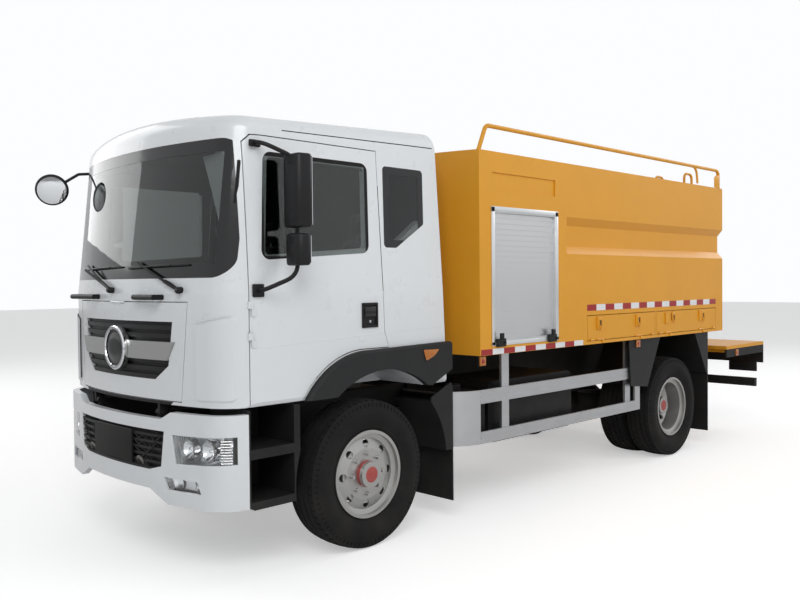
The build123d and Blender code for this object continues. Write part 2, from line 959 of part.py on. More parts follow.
with BuildPart() as chassis_frame:
    rail_foot = rail_top - rail_height
    for side in (-1, 1):
        web = sorted((side * rail_outer_x, side * (rail_outer_x - rail_wall)))
        lip = sorted((side * rail_outer_x, side * (rail_outer_x - rail_flange)))
        slab(web, (aft(rail_front), aft(rail_back)), (rail_foot, rail_top))
        for low in (rail_foot, rail_top - rail_wall):
            slab(lip, (aft(rail_front), aft(rail_back)), (low, low + rail_wall))
        slab(
            (side * spring_centre_x - sub_rail_width / 2, side * spring_centre_x + sub_rail_width / 2),
            (aft(body_front), aft(body_back)),
            (rail_top, body_foot - seat_gap),
        )
    span = rail_back - rail_front
    for share in cross_tube_shares:
        place = aft(rail_front + span * share)
        level = rail_top - cross_tube_radius - 2 * rail_wall
        rod((-rail_outer_x + rail_wall / 2, place, level), (rail_outer_x - rail_wall / 2, place, level),
            cross_tube_radius)
    # Front arms that carry the bumper and the pins the cab tilts on
    for side in (-1, 1):
        arm = sorted((side * rail_outer_x, side * (rail_outer_x - pivot_arm_wall)))
        side_outline(
            (
                (aft(rail_front) + overrun, rail_top),
                (aft(tilt_pivot_aft), tilt_pivot_level + cab_pivot_radius / 2),
                (aft(bumper_arm_front), tilt_pivot_level - cab_pivot_radius),
                (aft(bumper_arm_front), bumper_arm_foot),
                (aft(bumper_arm_front) + 2 * overrun, bumper_arm_foot),
                (aft(rail_front) + overrun, rail_foot),
            ),
            *arm,
        )
        rod((arm[0], aft(tilt_pivot_aft), tilt_pivot_level), (arm[1], aft(tilt_pivot_aft), tilt_pivot_level),
            cab_pivot_radius)
        rod((side * (rail_outer_x - pivot_arm_wall / 2), aft(tilt_pivot_aft), tilt_pivot_level),
            (side * (rail_outer_x + cab_lug_wall + 3 * joint_gap), aft(tilt_pivot_aft), tilt_pivot_level),
            cab_pin_radius)
        pad_bow = cab_bow - bumper_wall
        pad_front = -bumper_nose + bumper_wall + pad_bow - sqrt(pad_bow**2 - rail_outer_x**2) + seat_gap
        pad = sorted((side * rail_outer_x, side * (rail_outer_x - 2 * bumper_pad_half)))
        slab(pad, (aft(pad_front), aft(bumper_arm_front) + rail_wall),
             (bumper_arm_foot, bumper_grille_foot - lamp_slant))
    slab((-rail_outer_x, rail_outer_x), (aft(bumper_arm_front), aft(bumper_arm_front) + overrun),
         (bumper_arm_foot, bumper_arm_foot + 2 * overrun))

write(chassis_frame, "chassis_frame")

# Cab hull: one outer form that every cab panel, window and door is cut from


def cab_plan(level, inset):
    """Plan of the cab at a height, drawn in by an inset."""
    rise = max(level - cab_waist, 0)
    half = cab_half_width - inset - rise * cab_draw_share
    nose = aft(-cab_nose + inset + rise * cab_lean_share)
    bow = cab_bow - inset
    shoulder = nose + bow - sqrt(bow**2 - half**2)
    back = aft(cab_back_foot + overrun)
    with BuildSketch(Plane.XY.offset(level)) as plan:
        with BuildLine():
            ThreePointArc((half, shoulder), (0, nose), (-half, shoulder))
            Polyline((-half, shoulder), (-half, back), (half, back), (half, shoulder))
        make_face()
        fillet(plan.vertices().group_by(Axis.Y)[0], cab_corner - inset)
    return plan.sketch


def cab_arch(place, crown, inset):
    """Upright section of the cab with its cambered roof."""
    edge = crown - roof_arch - inset
    foot = cab_floor - overrun
    head_half = cab_half_width + skin_step - inset - (edge - cab_waist) * cab_draw_share
    foot_half = cab_half_width + skin_step - inset - (foot - cab_waist) * cab_draw_share
    with BuildSketch(Plane.XZ.offset(-place)) as arch:
        with BuildLine():
            ThreePointArc((head_half, edge), (0, crown - inset), (-head_half, edge))
            Polyline((-head_half, edge), (-foot_half, foot), (foot_half, foot), (head_half, edge))
        make_face()
        fillet(arch.vertices().group_by(Axis.Z)[-1], roof_corner - inset)
    return arch.sketch


def cab_hull(inset, floor_level=cab_floor):
    """Closed cab form, drawn in by an inset at the sides, front, roof and back."""
    with BuildPart() as roof:
        loft(
            sections=[
                cab_arch(aft(-cab_nose - overrun - roof_corner), roof_front_crown, inset),
                cab_arch(aft(cab_back_foot + 2 * overrun), roof_back_crown, inset),
            ],
            ruled=True,
        )
    back = aft(cab_back_foot - inset)
    lean = cab_back_lean_share * (cab_ceiling_level - floor_level)
    with BuildPart() as hull:
        loft(sections=[cab_plan(floor_level, inset), cab_plan(cab_waist, inset)], ruled=True)
        loft(sections=[cab_plan(cab_waist, inset), cab_plan(cab_ceiling_level, inset)], ruled=True)
        add(roof.part, mode=Mode.INTERSECT)
        if inset <= 0:
            brow = hull.edges().filter_by(lambda edge: edge.center().Z > roof_front_crown - roof_corner)
            fillet(brow.filter_by(lambda edge: edge.center().Y < aft(-cab_nose + 2 * roof_corner + overrun)), roof_brow)
        side_outline(
            (
                (back, floor_level - overrun),
                (back - lean, cab_ceiling_level),
                (back + 3 * overrun, cab_ceiling_level),
                (back + 3 * overrun, floor_level - overrun),
            ),
            -cab_half_width - overrun,
            cab_half_width + overrun,
            mode=Mode.SUBTRACT,
        )
    return hull.part


def hull_skin(outer, inner):
    """Shell of the cab form between two insets."""
    with BuildPart() as skin:
        add(cab_hull(outer))
        add(cab_hull(inner, cab_floor - overrun), mode=Mode.SUBTRACT)
    return skin.part


def door_prism(grow):
    """Upright prism of the left door's outline, grown by an amount."""
    front = aft(door_front) - grow
    foot = cab_floor - grow
    arch_start = (aft(trim_foot_aft) - door_arch_gap, cab_floor - grow)
    arch_middle = (aft(trim_middle_aft) - door_arch_gap, trim_middle_level + door_arch_gap - grow)
    arch_end = (aft(trim_top_aft), trim_top_level + door_arch_gap - grow)
    back_foot = (aft(door_back_foot) + grow, trim_top_level + door_arch_gap - grow)
    back_waist = (aft(door_back_waist) + grow, door_waist_level)
    back_top = (aft(door_back_top) + grow, door_top + grow)
    front_top = (front + door_corner, door_top + grow)
    front_edge = (front, door_top + grow - door_corner)
    with BuildPart() as prism:
        with BuildSketch(Plane.YZ.offset(cab_half_width - cab_corner)) as outline:
            with BuildLine():
                Polyline((front, foot), arch_start)
                ThreePointArc(arch_start, arch_middle, arch_end)
                Polyline(arch_end, back_foot, back_waist, back_top, front_top, front_edge, (front, foot))
            make_face()
        extrude(outline.sketch, amount=cab_corner + overrun)
    return prism.part


def window_prism(grow):
    """Prism of the left door's window, grown by an amount."""
    with BuildPart() as prism:
        side_outline(
            (
                (aft(window_front) - grow, window_foot - grow),
                (aft(window_back) + grow, window_foot + window_corner - grow),
                (aft(window_back) + grow, window_top + grow),
                (aft(window_front) + window_corner / 2 - grow, window_top + grow),
            ),
            cab_half_width - cab_corner,
            cab_half_width + overrun,
            window_corner + grow,
        )
    return prism.part


def quarter_prism(grow):
    """Prism of the left quarter window behind the door."""
    with BuildPart() as prism:
        side_outline(
            (
                (aft(quarter_front) - grow, quarter_foot_front - grow),
                (aft(quarter_front) + 2 * window_corner, quarter_foot_front - grow),
                (aft(quarter_back) + grow, quarter_foot_back - grow),
                (aft(quarter_back) + grow, quarter_top + grow),
                (aft(quarter_front) - grow, quarter_top + grow),
            ),
            cab_half_width - cab_corner,
            cab_half_width + overrun,
            window_corner / 2,
        )
    return prism.part


def screen_prism(grow):
    """Prism of the windscreen, along the truck."""
    with BuildPart() as prism:
        front_outline(
            (
                (-screen_half - grow, screen_foot - grow),
                (screen_half + grow, screen_foot - grow),
                (screen_half + grow, screen_top + grow),
                (-screen_half - grow, screen_top + grow),
            ),
            aft(-cab_nose - overrun),
            aft(door_front) - 2 * overrun / 3 + grow,
            screen_corner + grow,
        )
    return prism.part


def flap_prism(grow):
    """Prism of the front flap below the windscreen."""
    with BuildPart() as prism:
        front_outline(
            (
                (-flap_half_foot - grow, flap_foot - grow),
                (flap_half_foot + grow, flap_foot - grow),
                (flap_half_top + grow, flap_top + grow),
                (-flap_half_top - grow, flap_top + grow),
            ),
            aft(-cab_nose - 2 * overrun),
            aft(-cab_nose + cab_corner),
        )
    return prism.part


def both_sides(shape):
    """A left shape and its mirror image together."""
    with BuildPart() as pair:
        add(shape)
        mirror(about=Plane.YZ)
    return pair.part


def less(shape, *cuts):
    """A shape with others taken out of it."""
    with BuildPart() as result:
        add(shape)
        for cut in cuts:
            add(cut, mode=Mode.SUBTRACT)
    return result.part


def common(shape, tool):
    """What two shapes share."""
    with BuildPart() as result:
        add(shape)
        add(tool, mode=Mode.INTERSECT)
    return result.part


outer_hull = cab_hull(0)
cabin_space = cab_hull(cab_wall, cab_floor + cab_floor_wall)
door_back_space = cab_hull(door_wall + joint_gap, cab_floor - overrun)
glass_back_space = cab_hull(glass_step + glass_wall + seat_gap, cab_floor - overrun)
flap_back_space = cab_hull(flap_wall + joint_gap, cab_floor - overrun)
glass_skin = hull_skin(glass_step, glass_step + glass_wall)

arch_centre = (0, aft(arch_aft), arch_level)


def add_door_barrel(level):
    """Hinge barrel in front of the left door's front edge."""
    rod((door_hinge_x, aft(door_hinge_aft), level), (door_hinge_x, aft(door_hinge_aft), level + door_hinge_length),
        door_hinge_radius)


def add_door_leaf(level, x_low, reach):
    """Hinge leaf between two distances from the left door's hinge line."""
    slab((x_low, door_hinge_x), (aft(door_hinge_aft) + reach[0], aft(door_hinge_aft) + reach[1]),
         (level, level + door_hinge_length))


def arch_cylinder(radius, x_low, x_high, mode=Mode.SUBTRACT):
    """Round wheel arch space on the left side."""
    rod((x_low, aft(arch_aft), arch_level), (x_high, aft(arch_aft), arch_level), radius, mode)


with BuildPart() as wheel_arch:
    arch_cylinder(arch_radius, arch_liner_x, cab_half_width + overrun, Mode.ADD)

with BuildPart() as arch_well:
    arch_cylinder(arch_radius + arch_liner, arch_liner_x - arch_liner, cab_half_width - cab_wall / 2, Mode.ADD)

corner_skin = hull_skin(-corner_panel_rise, skin_step)

with BuildPart() as sill:
    slab(
        (-cab_half_width - overrun, cab_half_width + overrun),
        (aft(-cab_nose), aft(cab_back_foot)),
        (cab_floor - overrun, cab_floor + cab_floor_wall + seat_gap),
    )

with BuildPart() as door_front_zone:
    slab(
        (0, cab_half_width + overrun),
        (aft(door_front) - overrun, aft(door_front) + 3 * door_seal_lap),
        (cab_waist, door_top + overrun),
    )

with BuildPart() as cab_shell:
    add(outer_hull)
    add(cabin_space, mode=Mode.SUBTRACT)
    # Engine tunnel, open below and behind
    slab(
        (-tunnel_half_width, tunnel_half_width),
        (aft(tunnel_front), aft(cab_back_foot) - cab_wall),
        (cab_floor, tunnel_top + tunnel_wall),
    )
    add(common(outer_hull, both_sides(arch_well.part)))
    slab(
        (-tunnel_half_width + tunnel_wall, tunnel_half_width - tunnel_wall),
        (aft(tunnel_front) + tunnel_wall, aft(cab_back_foot) + overrun),
        (cab_floor - overrun, tunnel_top),
        Mode.SUBTRACT,
    )
    add(both_sides(wheel_arch.part), mode=Mode.SUBTRACT)
    # Door openings with a rebate that the door closes against
    add(both_sides(less(door_prism(joint_gap), door_back_space)), mode=Mode.SUBTRACT)
    add(both_sides(less(door_prism(-door_seal_lap), sill.part)), mode=Mode.SUBTRACT)
    # No rebate at the door's front edge, whose inner side swings back as it opens
    add(both_sides(common(door_prism(joint_gap), door_front_zone.part)), mode=Mode.SUBTRACT)
    # Windscreen and quarter windows, each with a rebate for its glass
    add(less(screen_prism(seat_gap), glass_back_space), mode=Mode.SUBTRACT)
    add(screen_prism(-screen_lap), mode=Mode.SUBTRACT)
    add(both_sides(less(quarter_prism(seat_gap), glass_back_space)), mode=Mode.SUBTRACT)
    add(both_sides(quarter_prism(-glass_lap)), mode=Mode.SUBTRACT)
    # Recess that the front flap closes
    add(less(flap_prism(joint_gap), flap_back_space), mode=Mode.SUBTRACT)
    # Lugs under the floor that turn on the tilt pins
    for side in (-1, 1):
        lug = sorted((side * (rail_outer_x + joint_gap), side * (rail_outer_x + joint_gap + cab_lug_wall)))
        side_outline(
            (
                (aft(tilt_pivot_aft) - cab_pivot_radius, tilt_pivot_level),
                (aft(tilt_pivot_aft) + cab_pivot_radius, tilt_pivot_level),
                (aft(tilt_pivot_aft) + cab_lug_half, flap_foot - joint_gap),
                (aft(tilt_pivot_aft) - cab_pivot_radius, flap_foot - joint_gap),
            ),
            *lug,
        )
        rod((lug[0], aft(tilt_pivot_aft), tilt_pivot_level), (lug[1], aft(tilt_pivot_aft), tilt_pivot_level),
            cab_pivot_radius)
        rod((lug[0] - overrun, aft(tilt_pivot_aft), tilt_pivot_level),
            (lug[1] + overrun, aft(tilt_pivot_aft), tilt_pivot_level), cab_pin_radius + 2 * seat_gap, Mode.SUBTRACT)
    # Hinge barrels of the front flap and of the doors
    for side in (-1, 1):
        barrel = sorted((side * (flap_hinge_half + seat_gap), side * (flap_hinge_half + flap_hinge_length)))
        rod((barrel[0], aft(flap_hinge_aft), flap_top), (barrel[1], aft(flap_hinge_aft), flap_top), flap_hinge_radius)
        slab(barrel, (aft(flap_hinge_aft), aft(-cab_nose) + flap_wall / 2),
             (flap_top + joint_gap, flap_top + joint_gap + skin_step * 2))
        slab(barrel, (aft(flap_hinge_aft), aft(flap_hinge_aft) + flap_hinge_radius),
             (flap_top, flap_top + joint_gap + skin_step))
    for level in door_hinge_levels:
        with BuildPart(mode=Mode.PRIVATE) as barrels:
            head = level + door_hinge_length + seat_gap
            root = door_front - joint_gap - skin_step - door_hinge_aft
            add_door_barrel(head)
            add_door_leaf(head, cab_half_width + 2 * skin_step, (-door_hinge_reach, 0))
            add_door_leaf(head, cab_half_width - cab_wall / 2, (-door_hinge_reach, root))
        add(both_sides(barrels.part))
    # Raised panels on the front corners
    for side in (-1, 1):
        with BuildPart(mode=Mode.PRIVATE) as corner_panel:
            front_outline(
                (
                    (side * corner_panel_inner, corner_panel_foot),
                    (side * corner_panel_outer, corner_panel_foot),
                    (side * corner_panel_outer, corner_panel_top),
                    (side * corner_panel_inner, corner_panel_top - corner_panel_drop),
                ),
                aft(-cab_nose - overrun),
                aft(-cab_nose + cab_corner),
                corner_panel_corner,
            )
        add(common(corner_skin, corner_panel.part))

write(cab_shell, "cab_shell")

with BuildPart() as cab_glass:
    add(common(glass_skin, screen_prism(0)))
    add(both_sides(common(glass_skin, quarter_prism(0))))

write(cab_glass, "cab_glass")

# Doors with their glass, mirrors and handles

with BuildPart() as door:
    add(common(hull_skin(0, door_wall), door_prism(0)))
    add(less(window_prism(seat_gap), glass_back_space), mode=Mode.SUBTRACT)
    add(window_prism(-glass_lap), mode=Mode.SUBTRACT)
    for level in door_hinge_levels:
        add_door_barrel(level)
        add_door_leaf(level, door_hinge_x - 2 * door_hinge_radius, (0, door_hinge_reach))

write_pair(door, "door")

with BuildPart() as door_glass:
    add(common(glass_skin, window_prism(0)))

write_pair(door_glass, "door_glass")

arm_outer_x = mirror_x
with BuildPart() as mirrors:
    low_start = (cab_half_width + seat_gap, aft(mirror_bracket_aft), mirror_bracket_level)
    high_start = (cab_half_width + seat_gap - mirror_head_step, aft(mirror_bracket_aft), mirror_head_level)
    with BuildLine() as path:
        FilletPolyline(
            low_start,
            (mirror_bracket_x, aft(mirror_bracket_aft), mirror_bracket_level),
            (mirror_x, aft(mirror_aft), mirror_bracket_level + mirror_arm_rise),
            (mirror_x, aft(mirror_aft), mirror_head_level - mirror_arm_rise),
            (mirror_bracket_x, aft(mirror_bracket_aft), mirror_head_level),
            high_start,
            radius=mirror_arm_bend,
        )
    with BuildSketch(Plane(origin=low_start, z_dir=(1, 0, 0))) as tube:
        Circle(mirror_arm_radius)
    sweep(tube.sketch, path=path.line)
    for start, half_height in ((low_start, mirror_bracket_half), (high_start, mirror_bracket_half_top)):
        slab(
            (start[0], start[0] + mirror_bracket_wall),
            (start[1] - mirror_bracket_half, start[1] + mirror_bracket_half),
            (start[2] - half_height, start[2] + half_height),
        )
    for foot, top, half_width, half_depth in mirror_heads:
        plan_outline(
            (
                (mirror_x - half_width, aft(mirror_aft) + half_depth),
                (mirror_x - half_width * mirror_nose_share, aft(mirror_aft) - half_depth),
                (mirror_x + half_width * mirror_nose_share, aft(mirror_aft) - half_depth),
                (mirror_x + half_width, aft(mirror_aft) + half_depth),
            ),
            foot,
            top,
            mirror_corner,
        )
    slab(
        (cab_half_width - handle_sink, cab_half_width + handle_proud),
        (aft(handle_front), aft(handle_back)),
        (handle_foot, handle_top),
    )

hull_with_gap = cab_hull(-seat_gap)
with BuildPart() as door_mirrors:
    add(less(mirrors.part, hull_with_gap))

write_pair(door_mirrors, "door_mirrors")

# Front flap with its grille, bar and ring

with BuildPart() as grille_opening:
    front_outline(
        (
            (-grille_half_foot, grille_foot),
            (grille_half_foot, grille_foot),
            (grille_half_low, grille_low),
            (grille_half_top, grille_top),
            (-grille_half_top, grille_top),
            (-grille_half_low, grille_low),
        ),
        aft(-cab_nose - 2 * overrun),
        aft(-cab_nose + cab_corner),
    )

with BuildPart() as grille_fit:
    front_outline(
        (
            (-grille_half_foot + seat_gap, grille_foot + seat_gap),
            (grille_half_foot - seat_gap, grille_foot + seat_gap),
            (grille_half_low - seat_gap, grille_low),
            (grille_half_top - seat_gap, grille_top - seat_gap),
            (-grille_half_top + seat_gap, grille_top - seat_gap),
            (-grille_half_low + seat_gap, grille_low),
        ),
        aft(-cab_nose - 2 * overrun),
        aft(-cab_nose + cab_corner),
    )

flap_sheet_skin = hull_skin(0, flap_sheet)
flap_frame_skin = hull_skin(flap_sheet - skin_step, flap_wall)

with BuildPart() as front_flap:
    add(less(common(flap_sheet_skin, flap_prism(0)), grille_opening.part))
    # The inner frame stands back from the sheet's edge and so clears the recess as it swings
    add(less(common(flap_frame_skin, flap_prism(-flap_frame_inset)), grille_opening.part))
    rod((-flap_hinge_half, aft(flap_hinge_aft), flap_top), (flap_hinge_half, aft(flap_hinge_aft), flap_top),
        flap_hinge_radius)
    slab((-flap_hinge_half, flap_hinge_half), (aft(flap_hinge_aft), aft(-cab_nose) + skin_step),
         (flap_top - 2 * flap_hinge_radius, flap_top))

write(front_flap, "front_flap")

with BuildPart() as grille_slats:
    spacing = (grille_top - grille_foot) / grille_slat_count
    for row in range(grille_slat_count):
        low = grille_foot + row * spacing
        slab((-grille_half_top, grille_half_top), (aft(-cab_nose - overrun), aft(-cab_nose + cab_corner)),
             (low, low + spacing * grille_slat_share))

with BuildPart() as front_grille:
    add(common(hull_skin(flap_wall - grille_back_wall, flap_wall), grille_fit.part))
    add(common(common(hull_skin(grille_sink, flap_wall - grille_back_wall), grille_fit.part), grille_slats.part))

write(front_grille, "front_grille")

with BuildPart() as bar_prism:
    front_outline(
        (
            (-bar_half_foot, bar_foot),
            (bar_half_foot, bar_foot),
            (bar_half_top, bar_top),
            (-bar_half_top, bar_top),
        ),
        aft(-cab_nose - 2 * overrun),
        aft(-cab_nose + cab_corner),
    )

flap_seat = less(hull_skin(-seat_gap, flap_wall), grille_fit.part)
ring_plane = Plane.XZ.offset(-aft(-cab_nose + grille_sink - seat_gap))
with BuildPart() as grille_bar:
    add(less(common(hull_skin(-bar_rise, grille_sink - seat_gap), bar_prism.part), flap_seat))
    with BuildSketch(ring_plane) as ring:
        with Locations((0, ring_level)):
            Circle(ring_radius)
    extrude(ring.sketch, amount=ring_reach)
    with BuildSketch(ring_plane.offset(ring_reach - ring_dish)) as dish:
        with Locations((0, ring_level)):
            Circle(ring_radius - ring_wall)
    extrude(dish.sketch, amount=overrun, mode=Mode.SUBTRACT)
    rim_edges = grille_bar.edges().filter_by(GeomType.CIRCLE).sort_by(Axis.Y)[:2]
    chamfer(rim_edges, ring_wall / 3)

write(grille_bar, "grille_bar")

# Black wheel arch trims on the cab

with BuildPart() as arch_trim:
    with BuildSketch(Plane.YZ.offset(cab_half_width + seat_gap)) as band:
        with BuildLine():
            foot_point = (aft(trim_foot_aft), cab_floor)
            middle_point = (aft(trim_middle_aft), trim_middle_level)
            top_point = (aft(trim_top_aft), trim_top_level)
            ThreePointArc(foot_point, middle_point, top_point)
            Polyline(
                top_point,
                (aft(trim_back), trim_back_level),
                (aft(trim_back), trim_back_foot),
                (aft(trim_tail_aft), trim_tail_level),
                (aft(trim_tail_aft), cab_floor),
                foot_point,
            )
        make_face()
    extrude(band.sketch, amount=trim_thickness)
    arch_cylinder(arch_radius, cab_half_width - overrun, cab_half_width + overrun * 2)
    chamfer(arch_trim.faces().sort_by(Axis.X)[-1].edges().sort_by(Axis.Z)[-1], trim_thickness / 3)

with BuildPart() as arch_trims:
    add(arch_trim.part)
    mirror(about=Plane.YZ)

write(arch_trims, "arch_trims")

# Wipers, grab handles and the round front mirror on the cab

with BuildPart() as cab_fittings:
    for base_x, tip_x in wiper_places:
        base_y = aft(-cab_nose + cab_bow - sqrt(cab_bow**2 - base_x**2)) + wiper_base_step
        rod((base_x, base_y, wiper_base_level), (base_x, base_y - wiper_proud, wiper_base_level), wiper_hub_radius)
        rod(
            (base_x, base_y - wiper_proud + wiper_radius, wiper_base_level),
            (tip_x, base_y - wiper_proud + wiper_radius, wiper_tip_level),
            wiper_radius,
        )
    for start_x, end_x in grab_places:
        grab_y = aft(-cab_nose) - grab_proud
        rod((start_x, grab_y, grab_level), (end_x, grab_y, grab_level), grab_radius)
        for place in (start_x + grab_radius, end_x - grab_radius):
            rod((place, grab_y, grab_level), (place, aft(-cab_nose) + grab_root, grab_level), grab_radius)
    with BuildLine() as stalk:
        FilletPolyline(
            (-front_mirror_foot_x, aft(front_mirror_foot_aft), front_mirror_foot_level),
            (-front_mirror_x + overrun, aft(front_mirror_foot_aft - overrun), front_mirror_foot_level),
            (-front_mirror_x, aft(front_mirror_aft), front_mirror_level),
            radius=mirror_arm_bend / 2,
        )
    with BuildSketch(Plane(origin=stalk.line @ 0, z_dir=stalk.line % 0)) as stalk_tube:
        Circle(front_mirror_stalk_radius)
    sweep(stalk_tube.sketch, path=stalk.line)
    dome_plane = Plane(
        origin=(-front_mirror_x, aft(front_mirror_aft), front_mirror_level),
        z_dir=(cos(front_mirror_turn) * cos(front_mirror_dip), -sin(front_mirror_turn), -sin(front_mirror_dip)),
    )
    with BuildSketch(dome_plane) as dome_foot:
        Circle(front_mirror_radius)
    extrude(dome_foot.sketch, amount=-front_mirror_depth, taper=front_mirror_taper)
    extrude(dome_foot.sketch, amount=front_mirror_depth / 2, taper=front_mirror_taper)

with BuildPart() as seated_fittings:
    add(less(cab_fittings.part, hull_with_gap))

write(seated_fittings, "cab_fittings")

# Inside of the cab: dashboard with the steering wheel, and the seats

floor_top = cab_floor + cab_floor_wall
with BuildPart() as dashboard:
    side_outline(
        (
            (aft(dash_front), dash_foot),
            (aft(dash_front), dash_top_front),
            (aft(dash_back), dash_top_back),
            (aft(dash_back) + dash_lip, dash_top_back - dash_lip),
            (aft(dash_back) - dash_lip, dash_foot),
        ),
        -cab_half_width,
        cab_half_width,
    )
    add(cab_hull(cab_wall + seat_gap, floor_top), mode=Mode.INTERSECT)
    wheel_plane = Plane(
        origin=(steering_x, aft(steering_aft), steering_level),
        x_dir=(1, 0, 0),
        z_dir=(0, sin(steering_tilt), cos(steering_tilt)),
    )
    with BuildSketch(Plane(origin=wheel_plane.origin, x_dir=(1, 0, 0), z_dir=-wheel_plane.y_dir)) as grip:
        with Locations((steering_radius, 0)):
            Circle(steering_grip_radius)
    revolve(grip.sketch, axis=Axis(wheel_plane.origin, wheel_plane.z_dir))
    with Locations(wheel_plane):
        Box(2 * steering_radius, steering_grip_radius * 2, steering_grip_radius)
        Cylinder(steering_grip_radius * steering_hub_share, steering_grip_radius * 2)
    column_end = wheel_plane.origin - wheel_plane.z_dir * steering_column_length
    rod(tuple(column_end), tuple(wheel_plane.origin), steering_grip_radius * steering_column_share)

write(dashboard, "dashboard")

with BuildPart() as seats:
    for side in (-1, 1):
        seat_low = side * seat_x - seat_half_width
        seat_high = side * seat_x + seat_half_width
        for front, back, low, high in (
            (seat_front, seat_back, seat_level, seat_level + seat_cushion),
        ):
            slab((seat_low, seat_high), (aft(front), aft(back)), (low, high))
        side_outline(
            (
                (aft(seat_back), seat_level + seat_cushion + seat_gap),
                (aft(seat_back) + seat_back_wall, seat_level + seat_cushion + seat_gap),
                (aft(seat_back) + seat_back_wall + seat_back_lean, seat_head_level),
                (aft(seat_back) + seat_back_lean, seat_head_level),
            ),
            seat_low,
            seat_high,
        )

write(seats, "seats")

with BuildPart() as seat_bases:
    for side in (-1, 1):
        slab(
            (side * seat_x - seat_half_width * seat_base_share, side * seat_x + seat_half_width * seat_base_share),
            (aft(seat_front) + seat_cushion / 2, aft(seat_back)),
            (arch_level + arch_radius + arch_liner + seat_gap, seat_level - seat_gap),
        )

write(seat_bases, "seat_bases")

# Front bumper with its openings, lamps and black trim


def bumper_block(inset):
    """Bumper form, drawn in by an inset at the front and sides."""
    half = cab_half_width + bumper_side_step - inset
    nose = aft(-bumper_nose + inset)
    bow = cab_bow - inset
    shoulder = nose + bow - sqrt(bow**2 - half**2)
    back = aft(bumper_back + 2 * overrun)
    with BuildPart() as block:
        with BuildSketch(Plane.XY.offset(bumper_corner_foot - overrun)) as plan:
            with BuildLine():
                ThreePointArc((half, shoulder), (0, nose), (-half, shoulder))
                Polyline((-half, shoulder), (-half, back), (half, back), (half, shoulder))
            make_face()
            fillet(plan.vertices().group_by(Axis.Y)[0], bumper_corner - inset)
        extrude(plan.sketch, amount=bumper_lamp_top - bumper_corner_foot + 2 * overrun)
    return block.part


def across(points, mode=Mode.ADD):
    """Prism through the whole bumper from a symmetric half outline of (x, z) points."""
    outline = list(points) + [(-x, z) for x, z in reversed(points)]
    front_outline(outline, aft(-bumper_nose - overrun), aft(bumper_back), mode=mode)


bumper_hollow = bumper_block(bumper_wall)
bumper_outer = bumper_block(0)

with BuildPart() as lamp_prism:
    for side in (-1, 1):
        front_outline(
            (
                (side * lamp_inner, lamp_top),
                (side * (lamp_inner + lamp_slant), lamp_foot),
                (side * (cab_half_width + overrun), lamp_foot + lamp_rise),
                (side * (cab_half_width + overrun), lamp_top + lamp_rise / 2),
            ),
            aft(-bumper_nose - overrun),
            aft(lamp_back),
        )

with BuildPart() as fog_prism:
    for side in (-1, 1):
        front_outline(
            (
                (side * fog_inner, fog_foot),
                (side * fog_outer, fog_foot),
                (side * (fog_outer - lamp_slant), fog_top),
                (side * (fog_inner - lamp_slant), fog_top),
            ),
            aft(-bumper_nose - overrun),
            aft(lamp_back),
        )

with BuildPart() as bumper_mouth:
    across(
        (
            (bumper_grille_half_top, bumper_grille_top),
            (bumper_grille_half_top - lamp_slant, bumper_grille_foot + lamp_slant),
            (bumper_grille_half_foot, bumper_grille_foot),
        )
    )

with BuildPart() as front_bumper:
    across(
        (
            (bumper_grille_half_top - lamp_slant, bumper_top),
            (bumper_grille_half_top + 2 * lamp_slant, bumper_lamp_top),
            (cab_half_width + overrun, bumper_lamp_top),
            (cab_half_width + overrun, bumper_corner_foot),
            (fog_inner, bumper_corner_foot),
            (bumper_grille_half_foot, bumper_foot),
        )
    )
    add(bumper_outer, mode=Mode.INTERSECT)
    add(bumper_hollow, mode=Mode.SUBTRACT)
    add(lamp_prism.part, mode=Mode.SUBTRACT)
    add(fog_prism.part, mode=Mode.SUBTRACT)
    add(bumper_mouth.part, mode=Mode.SUBTRACT)

write(front_bumper, "front_bumper")

lamp_front_skin = less(bumper_block(seat_gap * 4), bumper_block(lamp_depth))
with BuildPart() as headlamps:
    add(common(lamp_front_skin, lamp_prism.part))
    add(common(less(bumper_block(joint_gap * 2), bumper_block(bumper_wall)), fog_prism.part))

write(headlamps, "headlamps")

mouth_skin = less(bumper_block(mouth_sink), bumper_block(bumper_wall - seat_gap))
mouth_front = less(bumper_block(seat_gap * 4), bumper_block(mouth_sink))
with BuildPart() as mouth_bars:
    rows = (bumper_grille_top - bumper_grille_foot) / mouth_bar_count
    for row in range(mouth_bar_count):
        low = bumper_grille_foot + row * rows
        slab((-bumper_grille_half_top, bumper_grille_half_top), (aft(-bumper_nose), aft(bumper_back)),
             (low, low + rows * mouth_bar_share))

with BuildPart() as bumper_trim:
    add(common(mouth_skin, bumper_mouth.part))
    add(common(common(mouth_front, bumper_mouth.part), mouth_bars.part))
    # Step boxes under the doors, open at the side above each tread
    for side in (-1, 1):
        low_x, high_x = sorted((side * step_inner_x, side * step_outer_x))
        pocket_low, pocket_high = sorted((side * (step_inner_x + step_wall), side * (step_outer_x + overrun)))
        side_outline(
            (
                (aft(step_front), step_top),
                (aft(step_front), step_foot + 2 * step_wall),
                (aft(step_front) + 2 * step_wall, step_foot),
                (aft(step_back), step_foot),
                (aft(step_back), step_top),
            ),
            low_x,
            high_x,
        )
        for tread, ceiling in step_pockets:
            side_outline(
                (
                    (aft(step_front) + step_wall, tread),
                    (aft(step_back) - 2 * step_wall, tread),
                    (aft(step_back) - 2 * step_wall, ceiling),
                    (aft(step_front) + step_wall, ceiling),
                ),
                pocket_low,
                pocket_high,
                mode=Mode.SUBTRACT,
            )
        rod((low_x - overrun, aft(arch_aft), arch_level), (high_x + overrun, aft(arch_aft), arch_level),
            arch_radius + step_arch_step, Mode.SUBTRACT)

write(bumper_trim, "bumper_trim")

# Mudguards: front rear quarters, rear arches and their flaps

